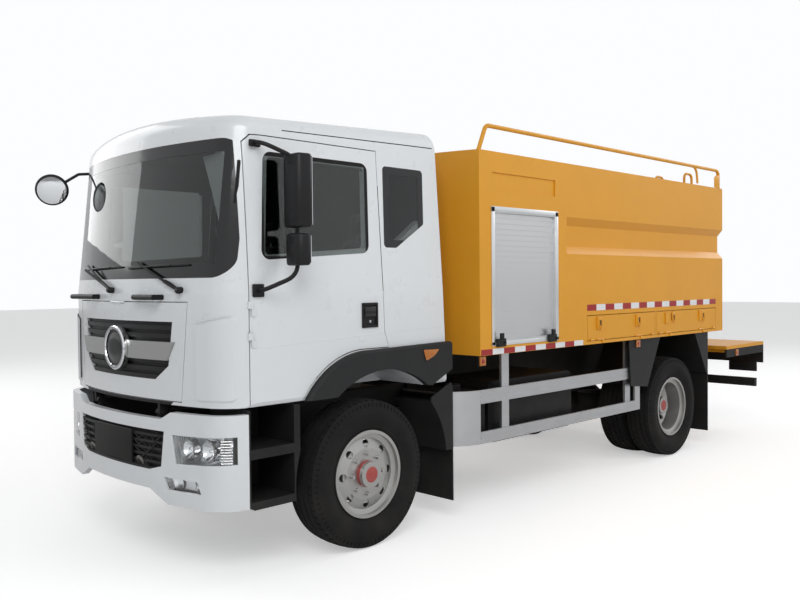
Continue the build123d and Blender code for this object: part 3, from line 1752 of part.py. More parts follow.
guard_quarter = (
    (aft(guard_front), guard_low),
    (aft(guard_front), guard_top),
    (aft(guard_peak), guard_shoulder),
    (aft(guard_back), guard_shoulder - guard_step),
    (aft(guard_back), guard_foot),
    (aft(guard_back) - guard_step, guard_foot),
    (aft(arch_aft), guard_low),
)
with BuildPart() as guard_sheet:
    rod((guard_inner_x, aft(arch_aft), arch_level), (guard_outer_x, aft(arch_aft), arch_level),
        guard_radius + guard_wall)
    side_outline(guard_quarter, guard_inner_x - overrun, guard_outer_x + overrun, mode=Mode.INTERSECT)

with BuildPart() as mudguard:
    add(guard_sheet.part)
    side_outline(guard_quarter, guard_outer_x - guard_wall, guard_outer_x)
    rod((guard_inner_x - overrun, aft(arch_aft), arch_level), (guard_outer_x + overrun, aft(arch_aft), arch_level),
        guard_radius, Mode.SUBTRACT)
    slab((guard_inner_x, guard_outer_x), (aft(guard_back) - guard_wall, aft(guard_back)),
         (mudflap_foot, guard_foot + guard_wall))
    stay_y = aft(arch_aft) + (guard_radius + guard_wall / 2) * cos(guard_stay_angle)
    stay_level = arch_level + (guard_radius + guard_wall / 2) * sin(guard_stay_angle)
    rod((rail_outer_x + seat_gap, stay_y, stay_level), (guard_inner_x + guard_wall, stay_y, stay_level),
        guard_stay_radius)

with BuildPart() as rear_guard:
    side_outline(
        (
            (aft(rear_guard_front), body_foot - seat_gap),
            (aft(rear_guard_front) + rear_guard_lean, rear_guard_foot),
            (aft(rear_guard_low), rear_guard_foot - rear_guard_lean),
            (aft(rear_guard_high), body_foot - seat_gap),
        ),
        rear_guard_outer_x - guard_wall,
        rear_guard_outer_x,
    )
    side_outline(
        (
            (aft(rear_guard_tail_high), body_foot - seat_gap),
            (aft(rear_guard_tail_low), rear_guard_foot),
            (aft(rear_guard_back), rear_guard_foot),
            (aft(rear_guard_back), body_foot - seat_gap),
        ),
        rear_guard_outer_x - guard_wall,
        rear_guard_outer_x,
    )
    # Sheets across the twin tyres
    side_outline(
        (
            (aft(rear_guard_low) - guard_wall, rear_guard_foot - rear_guard_lean),
            (aft(rear_guard_low), rear_guard_foot - rear_guard_lean),
            (aft(rear_guard_high), body_foot - seat_gap),
            (aft(rear_guard_high) - guard_wall, body_foot - seat_gap),
        ),
        rear_guard_inner_x,
        rear_guard_outer_x,
    )
    side_outline(
        (
            (aft(rear_guard_tail_high), body_foot - seat_gap),
            (aft(rear_guard_tail_high) + guard_wall, body_foot - seat_gap),
            (aft(rear_guard_tail_low) + guard_wall, rear_guard_foot),
            (aft(rear_guard_tail_low), rear_guard_foot),
        ),
        rear_guard_inner_x,
        rear_guard_outer_x,
    )
    slab((rear_guard_inner_x, rear_guard_outer_x),
         (aft(rear_guard_back) - guard_wall, aft(rear_guard_back)), (mudflap_foot, rear_guard_foot + guard_wall))

with BuildPart() as mudguards:
    add(mudguard.part)
    add(rear_guard.part)
    mirror(about=Plane.YZ)

write(mudguards, "mudguards")

# Side guards in aluminium

with BuildPart() as side_guard:
    for foot, top in (guard_top_rail, guard_low_rail):
        side_outline(
            (
                (aft(guard_rail_front), foot),
                (aft(guard_rail_back), foot),
                (aft(guard_rail_back), top),
                (aft(guard_rail_front), top),
            ),
            guard_rail_x - guard_rail_wall,
            guard_rail_x,
        )
        for share in guard_rib_shares:
            level = foot + (top - foot) * share
            slab((guard_rail_x - seat_gap, guard_rail_x + guard_rib), (aft(guard_rail_front), aft(guard_rail_back)),
                 (level - guard_rib, level + guard_rib))
    slab((guard_rail_x - guard_rail_wall, guard_rail_x),
         (aft(guard_rail_back), aft(guard_rail_back) + guard_post), (guard_low_rail[0], guard_top_rail[1]))
    with BuildSketch(Plane.XY.offset(guard_low_rail[0])) as nose_plan:
        with BuildLine():
            front_end = (guard_rail_x - guard_nose_turn, aft(guard_nose_front))
            back_end = (guard_rail_x, aft(guard_rail_front))
            inner_back = (guard_rail_x - guard_rail_wall, aft(guard_rail_front))
            inner_front = (guard_rail_x - guard_nose_turn - guard_rail_wall, aft(guard_nose_front))
            bulge = guard_nose_turn * guard_nose_share
            ThreePointArc(
                front_end,
                (guard_rail_x - bulge, (front_end[1] + back_end[1]) / 2),
                back_end,
            )
            Line(back_end, inner_back)
            ThreePointArc(
                inner_back,
                (guard_rail_x - bulge - guard_rail_wall, (front_end[1] + back_end[1]) / 2),
                inner_front,
            )
            Line(inner_front, front_end)
        make_face()
    extrude(nose_plan.sketch, amount=guard_top_rail[1] - guard_low_rail[0])
    for place in guard_post_places:
        slab((guard_rail_x - guard_rail_wall - guard_post_wall, guard_rail_x - guard_rail_wall),
             (aft(place), aft(place) + guard_post), (guard_low_rail[0], body_foot - seat_gap))

with BuildPart() as side_guards:
    add(side_guard.part)
    mirror(about=Plane.YZ)

write(side_guards, "side_guards")

# Fuel tank on the left, battery box and air tanks on the right

with BuildPart() as side_tanks:
    side_outline(
        (
            (aft(tank_front), tank_foot),
            (aft(tank_back), tank_foot),
            (aft(tank_back), tank_top),
            (aft(tank_front), tank_top),
        ),
        rail_outer_x + tank_step,
        tank_outer_x,
        tank_corner,
    )
    side_outline(
        (
            (aft(urea_front), tank_foot + tank_corner),
            (aft(urea_back), tank_foot + tank_corner),
            (aft(urea_back), tank_top - tank_corner),
            (aft(urea_front), tank_top - tank_corner),
        ),
        rail_outer_x + tank_step,
        tank_outer_x,
        tank_corner / 2,
    )
    rod((tank_outer_x - 2 * tank_corner, aft(urea_front) + 2 * tank_corner, tank_top - tank_corner),
        (tank_outer_x - 2 * tank_corner, aft(urea_front) + 2 * tank_corner, tank_top), tank_corner)
    slab((-tank_outer_x, -rail_outer_x - tank_step), (aft(urea_front), aft(battery_back)), (tank_foot, tank_top))
    air_tank_x = rail_outer_x + air_tank_radius + seat_gap
    for level in (tank_foot + air_tank_radius, tank_foot + 3 * air_tank_radius + tank_step):
        rod((-air_tank_x, aft(battery_back) + tank_step, level), (-air_tank_x, aft(tank_back), level), air_tank_radius)
    # Straps and brackets that hold them to the rails
    for place in tank_bracket_places:
        for side in (-1, 1):
            low_x, high_x = sorted((side * (rail_outer_x + seat_gap), side * (rail_outer_x + tank_step)))
            slab((low_x, high_x), (aft(place), aft(place) + guard_post), (rail_top - rail_height, rail_top))

write(side_tanks, "side_tanks")

# Yellow body with its pressed side recess, shutter openings and lockers


def body_section(place, grow=0):
    """Upright section of the body with its cambered roof, grown at the top."""
    with BuildSketch(Plane.XZ.offset(-place)) as section:
        with BuildLine():
            head = body_top + grow
            ThreePointArc((body_half_width, head), (0, head + body_crown), (-body_half_width, head))
            Polyline(
                (-body_half_width, head),
                (-body_half_width, body_foot),
                (body_half_width, body_foot),
                (body_half_width, head),
            )
        make_face()
    return section.sketch


shutter_span = (aft(shutter_front), aft(shutter_back))
with BuildPart() as body_box:
    extrude(body_section(aft(body_back)), amount=body_back - body_front)
    for side in (-1, 1):
        # Long pressed recess with sloping edges
        with BuildSketch(Plane.XZ.offset(-aft(recess_front))) as press:
            with BuildLine():
                Polyline(
                    (side * (body_half_width + skin_step), recess_foot),
                    (side * (body_half_width - recess_depth), recess_foot + recess_slope),
                    (side * (body_half_width - recess_depth), recess_top - recess_slope),
                    (side * (body_half_width + skin_step), recess_top),
                    close=True,
                )
            make_face()
        extrude(press.sketch, amount=-(body_back - recess_front + overrun), mode=Mode.SUBTRACT)
        # Shutter opening, sunk panel above it and the lockers
        depth_low, depth_high = sorted((side * (body_half_width - shutter_depth), side * (body_half_width + overrun)))
        slab((depth_low, depth_high), shutter_span, (shutter_foot, shutter_top), Mode.SUBTRACT)
        sunk_low, sunk_high = sorted((side * (body_half_width - head_panel_depth), side * (body_half_width + overrun)))
        slab((sunk_low, sunk_high), (aft(head_panel_front), aft(head_panel_back)),
             (head_panel_foot, head_panel_top), Mode.SUBTRACT)
        locker_low, locker_high = sorted((side * (body_half_width - locker_depth), side * (body_half_width + overrun)))
        for front, back in locker_places:
            slab((locker_low, locker_high), (aft(front), aft(back)), (locker_foot, locker_top), Mode.SUBTRACT)
        # Fixed hinge knuckles under the side flaps
        hinge_x = body_half_width + side_hinge_radius * side_hinge_share
        for front, back in locker_places:
            for share in latch_shares:
                end = aft(front) + (back - front) * share + latch_half + seat_gap
                low_x, high_x = sorted((side * (hinge_x - side_pin_radius), side * (hinge_x + side_pin_radius)))
                slab((low_x, high_x), (end, end + side_pin_length),
                     (locker_foot - side_pin_length, side_hinge_level))
                rod((side * hinge_x, end, side_hinge_level), (side * hinge_x, end + side_pin_length, side_hinge_level),
                    side_pin_radius)
                low_x, high_x = sorted((side * (body_half_width - skin_step), side * hinge_x))
                slab((low_x, high_x), (end, end + side_pin_length),
                     (locker_foot - side_pin_length, locker_foot - seat_gap))
    slab((rear_shutter_low, rear_shutter_high), (aft(body_back) - shutter_depth, aft(body_back) + overrun),
         (shutter_foot, shutter_top), Mode.SUBTRACT)

write(body_box, "body_box")

for number, (front, back) in enumerate(locker_places, start=1):
    with BuildPart() as side_flap:
        slab((body_half_width - side_flap_wall, body_half_width),
             (aft(front) + flap_gap, aft(back) - flap_gap),
             (locker_foot + flap_gap, locker_top - flap_gap))
        length = back - front
        for share in latch_shares:
            middle = aft(front) + length * share
            slab((body_half_width - seat_gap, body_half_width + latch_proud),
                 (middle - latch_half, middle + latch_half), (latch_foot, latch_top))
            rod((body_half_width + side_hinge_radius * side_hinge_share, middle - latch_half, side_hinge_level),
                (body_half_width + side_hinge_radius * side_hinge_share, middle + latch_half, side_hinge_level),
                side_hinge_radius)
    write_pair(side_flap, f"side_flap_{number}")

# Roller shutters: a white frame and the slats inside it


def add_shutter(origin, x_dir, width):
    """Shutter frame and slats in an upright plane that faces out of the body."""
    plane = Plane(origin=origin, x_dir=x_dir, z_dir=Vector(*x_dir).cross(Vector(0, 0, 1)))
    height = shutter_top - shutter_foot
    with BuildSketch(plane) as frame_face:
        with Locations((width / 2, height / 2)):
            Rectangle(width - 2 * seat_gap, height - 2 * seat_gap)
            Rectangle(width - 2 * shutter_frame, height - 2 * shutter_frame, mode=Mode.SUBTRACT)
    extrude(frame_face.sketch, amount=shutter_depth + shutter_lip)
    with BuildSketch(plane) as curtain:
        with Locations((width / 2, height / 2)):
            Rectangle(width - 2 * shutter_frame, height - 2 * shutter_frame)
    extrude(curtain.sketch, amount=shutter_depth / 3)
    count = int((height - 2 * shutter_frame) / shutter_slat)
    pitch = (height - 2 * shutter_frame) / count
    with BuildSketch(plane) as slats:
        for row in range(count):
            with Locations((width / 2, shutter_frame + pitch * (row + 1 / 2))):
                Rectangle(width - 2 * shutter_frame, pitch * shutter_slat_share)
    extrude(slats.sketch, amount=shutter_depth / 3 + shutter_slat_rise)


with BuildPart() as roller_shutters:
    floor_x = body_half_width - shutter_depth + seat_gap
    add_shutter((floor_x, shutter_span[0], shutter_foot), (0, 1, 0), shutter_back - shutter_front)
    add_shutter((-floor_x, shutter_span[1], shutter_foot), (0, -1, 0), shutter_back - shutter_front)
    add_shutter((rear_shutter_high, aft(body_back) - shutter_depth + seat_gap, shutter_foot), (-1, 0, 0),
                rear_shutter_high - rear_shutter_low)

write(roller_shutters, "roller_shutters")

# Roof rails and the rear ladder

with BuildPart() as roof_rails:
    for side in (-1, 1):
        rail_x = side * (body_half_width - roof_rail_inset)
        with BuildLine() as rail_path:
            FilletPolyline(
                (rail_x, aft(body_front) + roof_rail_inset, body_top - skin_step),
                (rail_x, aft(body_front) + roof_rail_inset + roof_rail_rake, roof_rail_level),
                (rail_x, aft(body_back) - roof_rail_inset, roof_rail_level),
                (rail_x, aft(body_back) - roof_rail_inset, body_top - skin_step),
                radius=roof_rail_bend,
            )
        with BuildSketch(Plane(origin=rail_path.line @ 0, z_dir=rail_path.line % 0)) as rail_tube:
            Circle(roof_rail_radius)
        sweep(rail_tube.sketch, path=rail_path.line)
    for stile_x in (ladder_x - ladder_half_width, ladder_x + ladder_half_width):
        with BuildLine() as stile_path:
            FilletPolyline(
                (stile_x, aft(body_back) + ladder_step, ladder_foot),
                (stile_x, aft(body_back) + ladder_step, ladder_top),
                (stile_x, aft(body_back) - ladder_step, ladder_top),
                (stile_x, aft(body_back) - ladder_step, body_top),
                radius=ladder_bend,
            )
        with BuildSketch(Plane(origin=stile_path.line @ 0, x_dir=(0, 1, 0), z_dir=stile_path.line % 0)) as stile_tube:
            Circle(ladder_radius)
        sweep(stile_tube.sketch, path=stile_path.line)
        for level in (ladder_foot + overrun, body_top - overrun):
            rod((stile_x, aft(body_back) + seat_gap, level), (stile_x, aft(body_back) + ladder_step, level),
                ladder_radius * ladder_stay_share)
    rung_span = body_top - ladder_foot
    for rung in range(ladder_rungs):
        level = ladder_foot + ladder_radius * 2 + rung * rung_span / ladder_rungs
        rod((ladder_x - ladder_half_width, aft(body_back) + ladder_step, level),
            (ladder_x + ladder_half_width, aft(body_back) + ladder_step, level), ladder_radius * ladder_rung_share)

with BuildPart() as body_grown:
    extrude(body_section(aft(body_back), seat_gap), amount=body_back - body_front)

with BuildPart() as seated_rails:
    add(less(roof_rails.part, body_grown.part))

write(seated_rails, "roof_rails")

# Rear platform, its skirt, the underrun bar and the suction inlet

with BuildPart() as rear_platform:
    slab((-platform_half_width, platform_half_width), (aft(platform_front), aft(platform_back)),
         (platform_top - deck_wall, platform_top))
    for share in platform_beam_shares:
        place = aft(platform_front) + (platform_back - platform_front) * share
        slab((-platform_beam_half, platform_beam_half), (place, place + skirt_wall * 2),
             (rail_top + seat_gap, platform_top - deck_wall))

write(rear_platform, "rear_platform")

with BuildPart() as underrun_bar:
    slab((-underrun_half, underrun_half), (aft(underrun_aft), aft(underrun_aft) + underrun_depth),
         (underrun_foot, underrun_top))
    fillet(underrun_bar.edges().filter_by(Axis.X), underrun_corner)
    for side in (-1, 1):
        low_x, high_x = sorted((side * (rail_outer_x - rail_flange), side * rail_outer_x))
        slab((low_x, high_x), (aft(underrun_aft) - 3 * underrun_depth, aft(underrun_aft) + skin_step),
             (underrun_foot, rail_top - rail_height - seat_gap))

with BuildPart() as rear_skirt:
    skirt_top = platform_top - deck_wall - seat_gap
    slab((-platform_half_width, platform_half_width), (aft(platform_back) - skirt_wall, aft(platform_back)),
         (skirt_foot, skirt_top))
    for side in (-1, 1):
        low_x, high_x = sorted((side * (platform_half_width - skirt_wall), side * platform_half_width))
        slab((low_x, high_x), (aft(platform_front), aft(platform_back) - skirt_wall / 2),
             (skirt_top - skirt_side, skirt_top))

with BuildPart() as rear_underrun:
    add(underrun_bar.part)
    add(rear_skirt.part)

write(rear_underrun, "rear_underrun")

with BuildPart() as suction_inlet:
    pipe_start = aft(body_back) + seat_gap
    rod((suction_x, pipe_start, suction_level), (suction_x, pipe_start + suction_length, suction_level), suction_radius)
    rod((suction_x, pipe_start, suction_level), (suction_x, pipe_start + suction_flange, suction_level),
        suction_radius + suction_lip)
    rod((suction_x, pipe_start + suction_length - suction_flange, suction_level),
        (suction_x, pipe_start + suction_length, suction_level), suction_radius + suction_lip)
    rod((suction_x, pipe_start + suction_flange, suction_level),
        (suction_x, pipe_start + suction_length + overrun, suction_level), suction_bore, Mode.SUBTRACT)

write(suction_inlet, "suction_inlet")

with BuildPart() as signal_lamps:
    for side in (-1, 1):
        low_x, high_x = sorted((side * tail_lamp_inner, side * tail_lamp_outer))
        slab((low_x, high_x), (aft(platform_back) - tail_lamp_wall, aft(platform_back)),
             (skirt_foot - seat_gap - tail_lamp_height, skirt_foot - seat_gap))

write(signal_lamps, "signal_lamps")
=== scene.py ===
"""Looks of a vacuum truck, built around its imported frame.

The CAD nodes keep their shapes and get finishes here. Tyres, lamps, window borders, seats, tape
and small trim are modelled as pieces of their own, in metres, in the frame of the model.
"""

from __future__ import annotations

import json
import logging
import math
import sys
from dataclasses import dataclass, field
from enum import Enum
from typing import Callable, Iterable, Sequence

import bmesh
import bpy
from mathutils import Matrix, Vector
from mathutils.bvhtree import BVHTree

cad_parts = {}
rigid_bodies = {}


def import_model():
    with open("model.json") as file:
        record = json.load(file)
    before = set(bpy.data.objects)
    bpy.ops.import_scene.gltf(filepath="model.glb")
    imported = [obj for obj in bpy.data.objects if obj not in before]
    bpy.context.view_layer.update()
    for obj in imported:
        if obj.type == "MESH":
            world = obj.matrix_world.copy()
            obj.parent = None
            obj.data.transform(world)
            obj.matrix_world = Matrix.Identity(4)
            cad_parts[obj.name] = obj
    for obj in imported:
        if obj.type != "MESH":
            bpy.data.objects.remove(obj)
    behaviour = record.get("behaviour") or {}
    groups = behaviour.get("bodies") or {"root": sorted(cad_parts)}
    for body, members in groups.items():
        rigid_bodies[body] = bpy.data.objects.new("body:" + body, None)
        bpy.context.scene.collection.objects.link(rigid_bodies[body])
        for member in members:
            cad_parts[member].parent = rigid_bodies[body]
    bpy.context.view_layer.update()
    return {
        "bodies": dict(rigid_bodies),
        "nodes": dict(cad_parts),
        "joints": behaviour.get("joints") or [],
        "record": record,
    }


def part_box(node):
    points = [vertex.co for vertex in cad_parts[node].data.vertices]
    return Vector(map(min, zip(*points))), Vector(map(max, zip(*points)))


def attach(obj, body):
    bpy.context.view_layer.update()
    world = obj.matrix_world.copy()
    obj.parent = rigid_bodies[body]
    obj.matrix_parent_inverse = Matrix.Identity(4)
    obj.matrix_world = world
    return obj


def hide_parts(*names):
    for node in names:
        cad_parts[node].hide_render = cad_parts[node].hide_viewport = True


LOG = logging.getLogger("vacuum_truck")
FRONT_AXLE_Y = -2.5385
REAR_AXLE_Y = FRONT_AXLE_Y + 4.2
WHEEL_LEVEL = 0.506
Point = Sequence[float]
Pair = tuple[float, float]
Triple = tuple[float, float, float]
Quad = tuple[float, float, float, float]
Tree, Node, Socket = bpy.types.NodeTree, bpy.types.Node, bpy.types.NodeSocket
Material, Item, Face = bpy.types.Material, bpy.types.Object, bmesh.types.BMFace


def aft(distance: float) -> float:
    """Y of a distance measured back from the front axle."""
    return FRONT_AXLE_Y + distance


class Surface(Enum):
    """Kinds of surface, which differ in how their shader is set."""

    PAINT = "paint"
    PLASTIC = "plastic"
    RUBBER = "rubber"
    METAL = "metal"
    GLASS = "glass"
    LENS = "lens"
    CLOTH = "cloth"


class Side(Enum):
    """Side of the truck, with the sign of its X."""

    LEFT = 1
    RIGHT = -1

    @property
    def word(self) -> str:
        """Name of the side as used in node names."""
        return self.name.lower()


@dataclass(frozen=True)
class Finish:
    """A surface finish: its colour, sheen, fine relief and dirt."""

    name: str
    kind: Surface
    color: Triple
    roughness: float = 0.5
    spread: float = 0.06
    coat: float = 0.0
    relief_scale: float = 120.0
    relief: float = 0.0
    mottle: float = 0.04
    dust: float = 0.0

    def shine(self) -> float:
        """Strength of the mirror-like part of the shader, as its specular level."""
        levels = {
            Surface.PLASTIC: 0.22, Surface.RUBBER: 0.16, Surface.CLOTH: 0.1, Surface.GLASS: 0.75
        }
        return levels.get(self.kind, 0.45)

    def shader_values(self) -> dict[str, float]:
        """Constant values of the shader's own sockets.

        Returns:
            Socket name to value.
        """
        values = {
            "Metallic": 0.0, "Coat Weight": self.coat, "Coat Roughness": 0.08,
            "Specular IOR Level": self.shine(),
        }
        if self.kind is Surface.METAL:
            values["Metallic"] = 1.0
        if self.kind is Surface.GLASS:
            values |= {"Transmission Weight": 1.0, "IOR": 1.45}
        if self.kind is Surface.LENS:
            values |= {"Transmission Weight": 0.55, "IOR": 1.49}
        if self.kind is Surface.CLOTH:
            values |= {"Sheen Weight": 0.35, "Sheen Roughness": 0.6}
        return values


WHITE = Finish(
    "white_paint", Surface.PAINT, (0.74, 0.765, 0.785), 0.28, 0.05, 0.6, 60, 0.02, 0.04, 0.10
)
YELLOW = Finish(
    "yellow_paint", Surface.PAINT, (0.76, 0.340, 0.014), 0.44, 0.08, 0.10, 45, 0.05, 0.12, 0.08
)
FRAME_BLACK = Finish(
    "frame_black", Surface.PLASTIC, (0.010, 0.010, 0.011), 0.55, 0.1, 0.0, 90, 0.08, 0.3, 0.06
)
ARCH_GREY = Finish(
    "arch_grey", Surface.PLASTIC, (0.019, 0.020, 0.021), 0.62, 0.06, 0.0, 700, 0.25, 0.12, 0.05
)
TRIM_BLACK = Finish(
    "trim_black", Surface.PLASTIC, (0.011, 0.011, 0.012), 0.46, 0.07, 0.0, 650, 0.2, 0.15, 0.05
)
GLOSS_BLACK = Finish(
    "gloss_black", Surface.PLASTIC, (0.012, 0.012, 0.013), 0.16, 0.03, 0.5, 40, 0.01, 0.05, 0.1
)
TANK_BLACK = Finish(
    "tank_black", Surface.RUBBER, (0.006, 0.006, 0.007), 0.42, 0.1, 0.05, 60, 0.05, 0.25, 0.05
)
STEEL = Finish(
    "dark_steel", Surface.METAL, (0.16, 0.155, 0.15), 0.55, 0.12, 0.0, 140, 0.15, 0.3, 0.15
)
IRON = Finish("cast_iron", Surface.METAL, (0.19, 0.18, 0.17), 0.66, 0.1, 0.0, 260, 0.35, 0.3, 0.15)
ALUMINIUM = Finish(
    "guard_aluminium", Surface.METAL, (0.56, 0.57, 0.59), 0.38, 0.08, 0.0, 200, 0.05, 0.08, 0.22
)
SHUTTER = Finish(
    "shutter_aluminium", Surface.METAL, (0.70, 0.705, 0.715), 0.34, 0.06, 0.0, 240, 0.04, 0.05, 0.1
)
SHUTTER_TRACK = Finish(
    "shutter_track", Surface.METAL, (0.78, 0.79, 0.80), 0.32, 0.05, 0.0, 200, 0.03, 0.04, 0.1
)
BAR_SILVER = Finish(
    "bar_silver", Surface.METAL, (0.42, 0.42, 0.41), 0.34, 0.06, 0.3, 420, 0.08, 0.1, 0.1
)
CHROME = Finish("chrome", Surface.METAL, (0.82, 0.83, 0.84), 0.08, 0.03, 0.0, 60, 0.0, 0.02, 0.04)
RIM_SILVER = Finish(
    "rim_silver", Surface.METAL, (0.50, 0.50, 0.49), 0.42, 0.08, 0.0, 180, 0.1, 0.2, 0.12
)
HUB_RED = Finish("hub_red", Surface.PAINT, (0.42, 0.03, 0.028), 0.45, 0.08, 0.2, 120, 0.1, 0.3, 0.3)
TYRE = Finish(
    "tyre_rubber", Surface.RUBBER, (0.009, 0.009, 0.010), 0.8, 0.08, 0.0, 300, 0.25, 0.3, 0.05
)
FLAP_RUBBER = Finish(
    "flap_rubber", Surface.RUBBER, (0.028, 0.028, 0.03), 0.72, 0.08, 0.0, 240, 0.3, 0.3, 0.06
)
GLASS = Finish("window_glass", Surface.GLASS, (0.25, 0.275, 0.265), 0.02, 0.01)
CLEAR = Finish("lamp_cover", Surface.GLASS, (0.97, 0.98, 0.99), 0.02, 0.01)
MIRROR = Finish("mirror_glass", Surface.METAL, (0.86, 0.88, 0.9), 0.04, 0.01)
AMBER = Finish("amber_lens", Surface.LENS, (0.95, 0.28, 0.01), 0.18, 0.03, 0.4, 500, 0.4)
RED_LENS = Finish("red_lens", Surface.LENS, (0.62, 0.012, 0.012), 0.18, 0.03, 0.4, 500, 0.4)
TAPE_RED = Finish(
    "tape_red", Surface.PLASTIC, (0.36, 0.018, 0.022), 0.3, 0.04, 0.3, 900, 0.15, 0.1, 0.15
)
TAPE_WHITE = Finish(
    "tape_white", Surface.PLASTIC, (0.78, 0.79, 0.8), 0.3, 0.04, 0.3, 900, 0.15, 0.05, 0.15
)
SEAT_CLOTH = Finish(
    "seat_cloth", Surface.CLOTH, (0.045, 0.048, 0.054), 0.85, 0.05, 0.0, 110, 0.2, 0.2
)
SEAL = Finish("door_seal", Surface.RUBBER, (0.012, 0.012, 0.012), 0.6, 0.05, 0.0, 300, 0.1)
REFLECTOR = Finish(
    "lamp_reflector", Surface.METAL, (0.86, 0.87, 0.88), 0.30, 0.05, 0.0, 90, 0.02, 0.05
)
CLEAR_LENS = Finish("clear_lens", Surface.LENS, (0.88, 0.89, 0.9), 0.15, 0.03, 0.3, 500, 0.4)
MIRROR_BLACK = Finish(
    "mirror_black", Surface.PLASTIC, (0.014, 0.014, 0.015), 0.40, 0.05, 0.0, 600, 0.12, 0.1, 0.05
)
PLATE_BLACK = Finish(
    "plate_black", Surface.PLASTIC, (0.004, 0.004, 0.004), 0.6, 0.05, 0.0, 300, 0.05, 0.1, 0.05
)
LINING = Finish("cab_lining", Surface.PLASTIC, (0.06, 0.06, 0.062), 0.8, 0.05, 0.0, 60, 0.0, 0.15)
DASH = Finish(
    "dashboard_plastic", Surface.PLASTIC, (0.04, 0.042, 0.046), 0.58, 0.06, 0.0, 900, 0.3, 0.15,
    0.15,
)


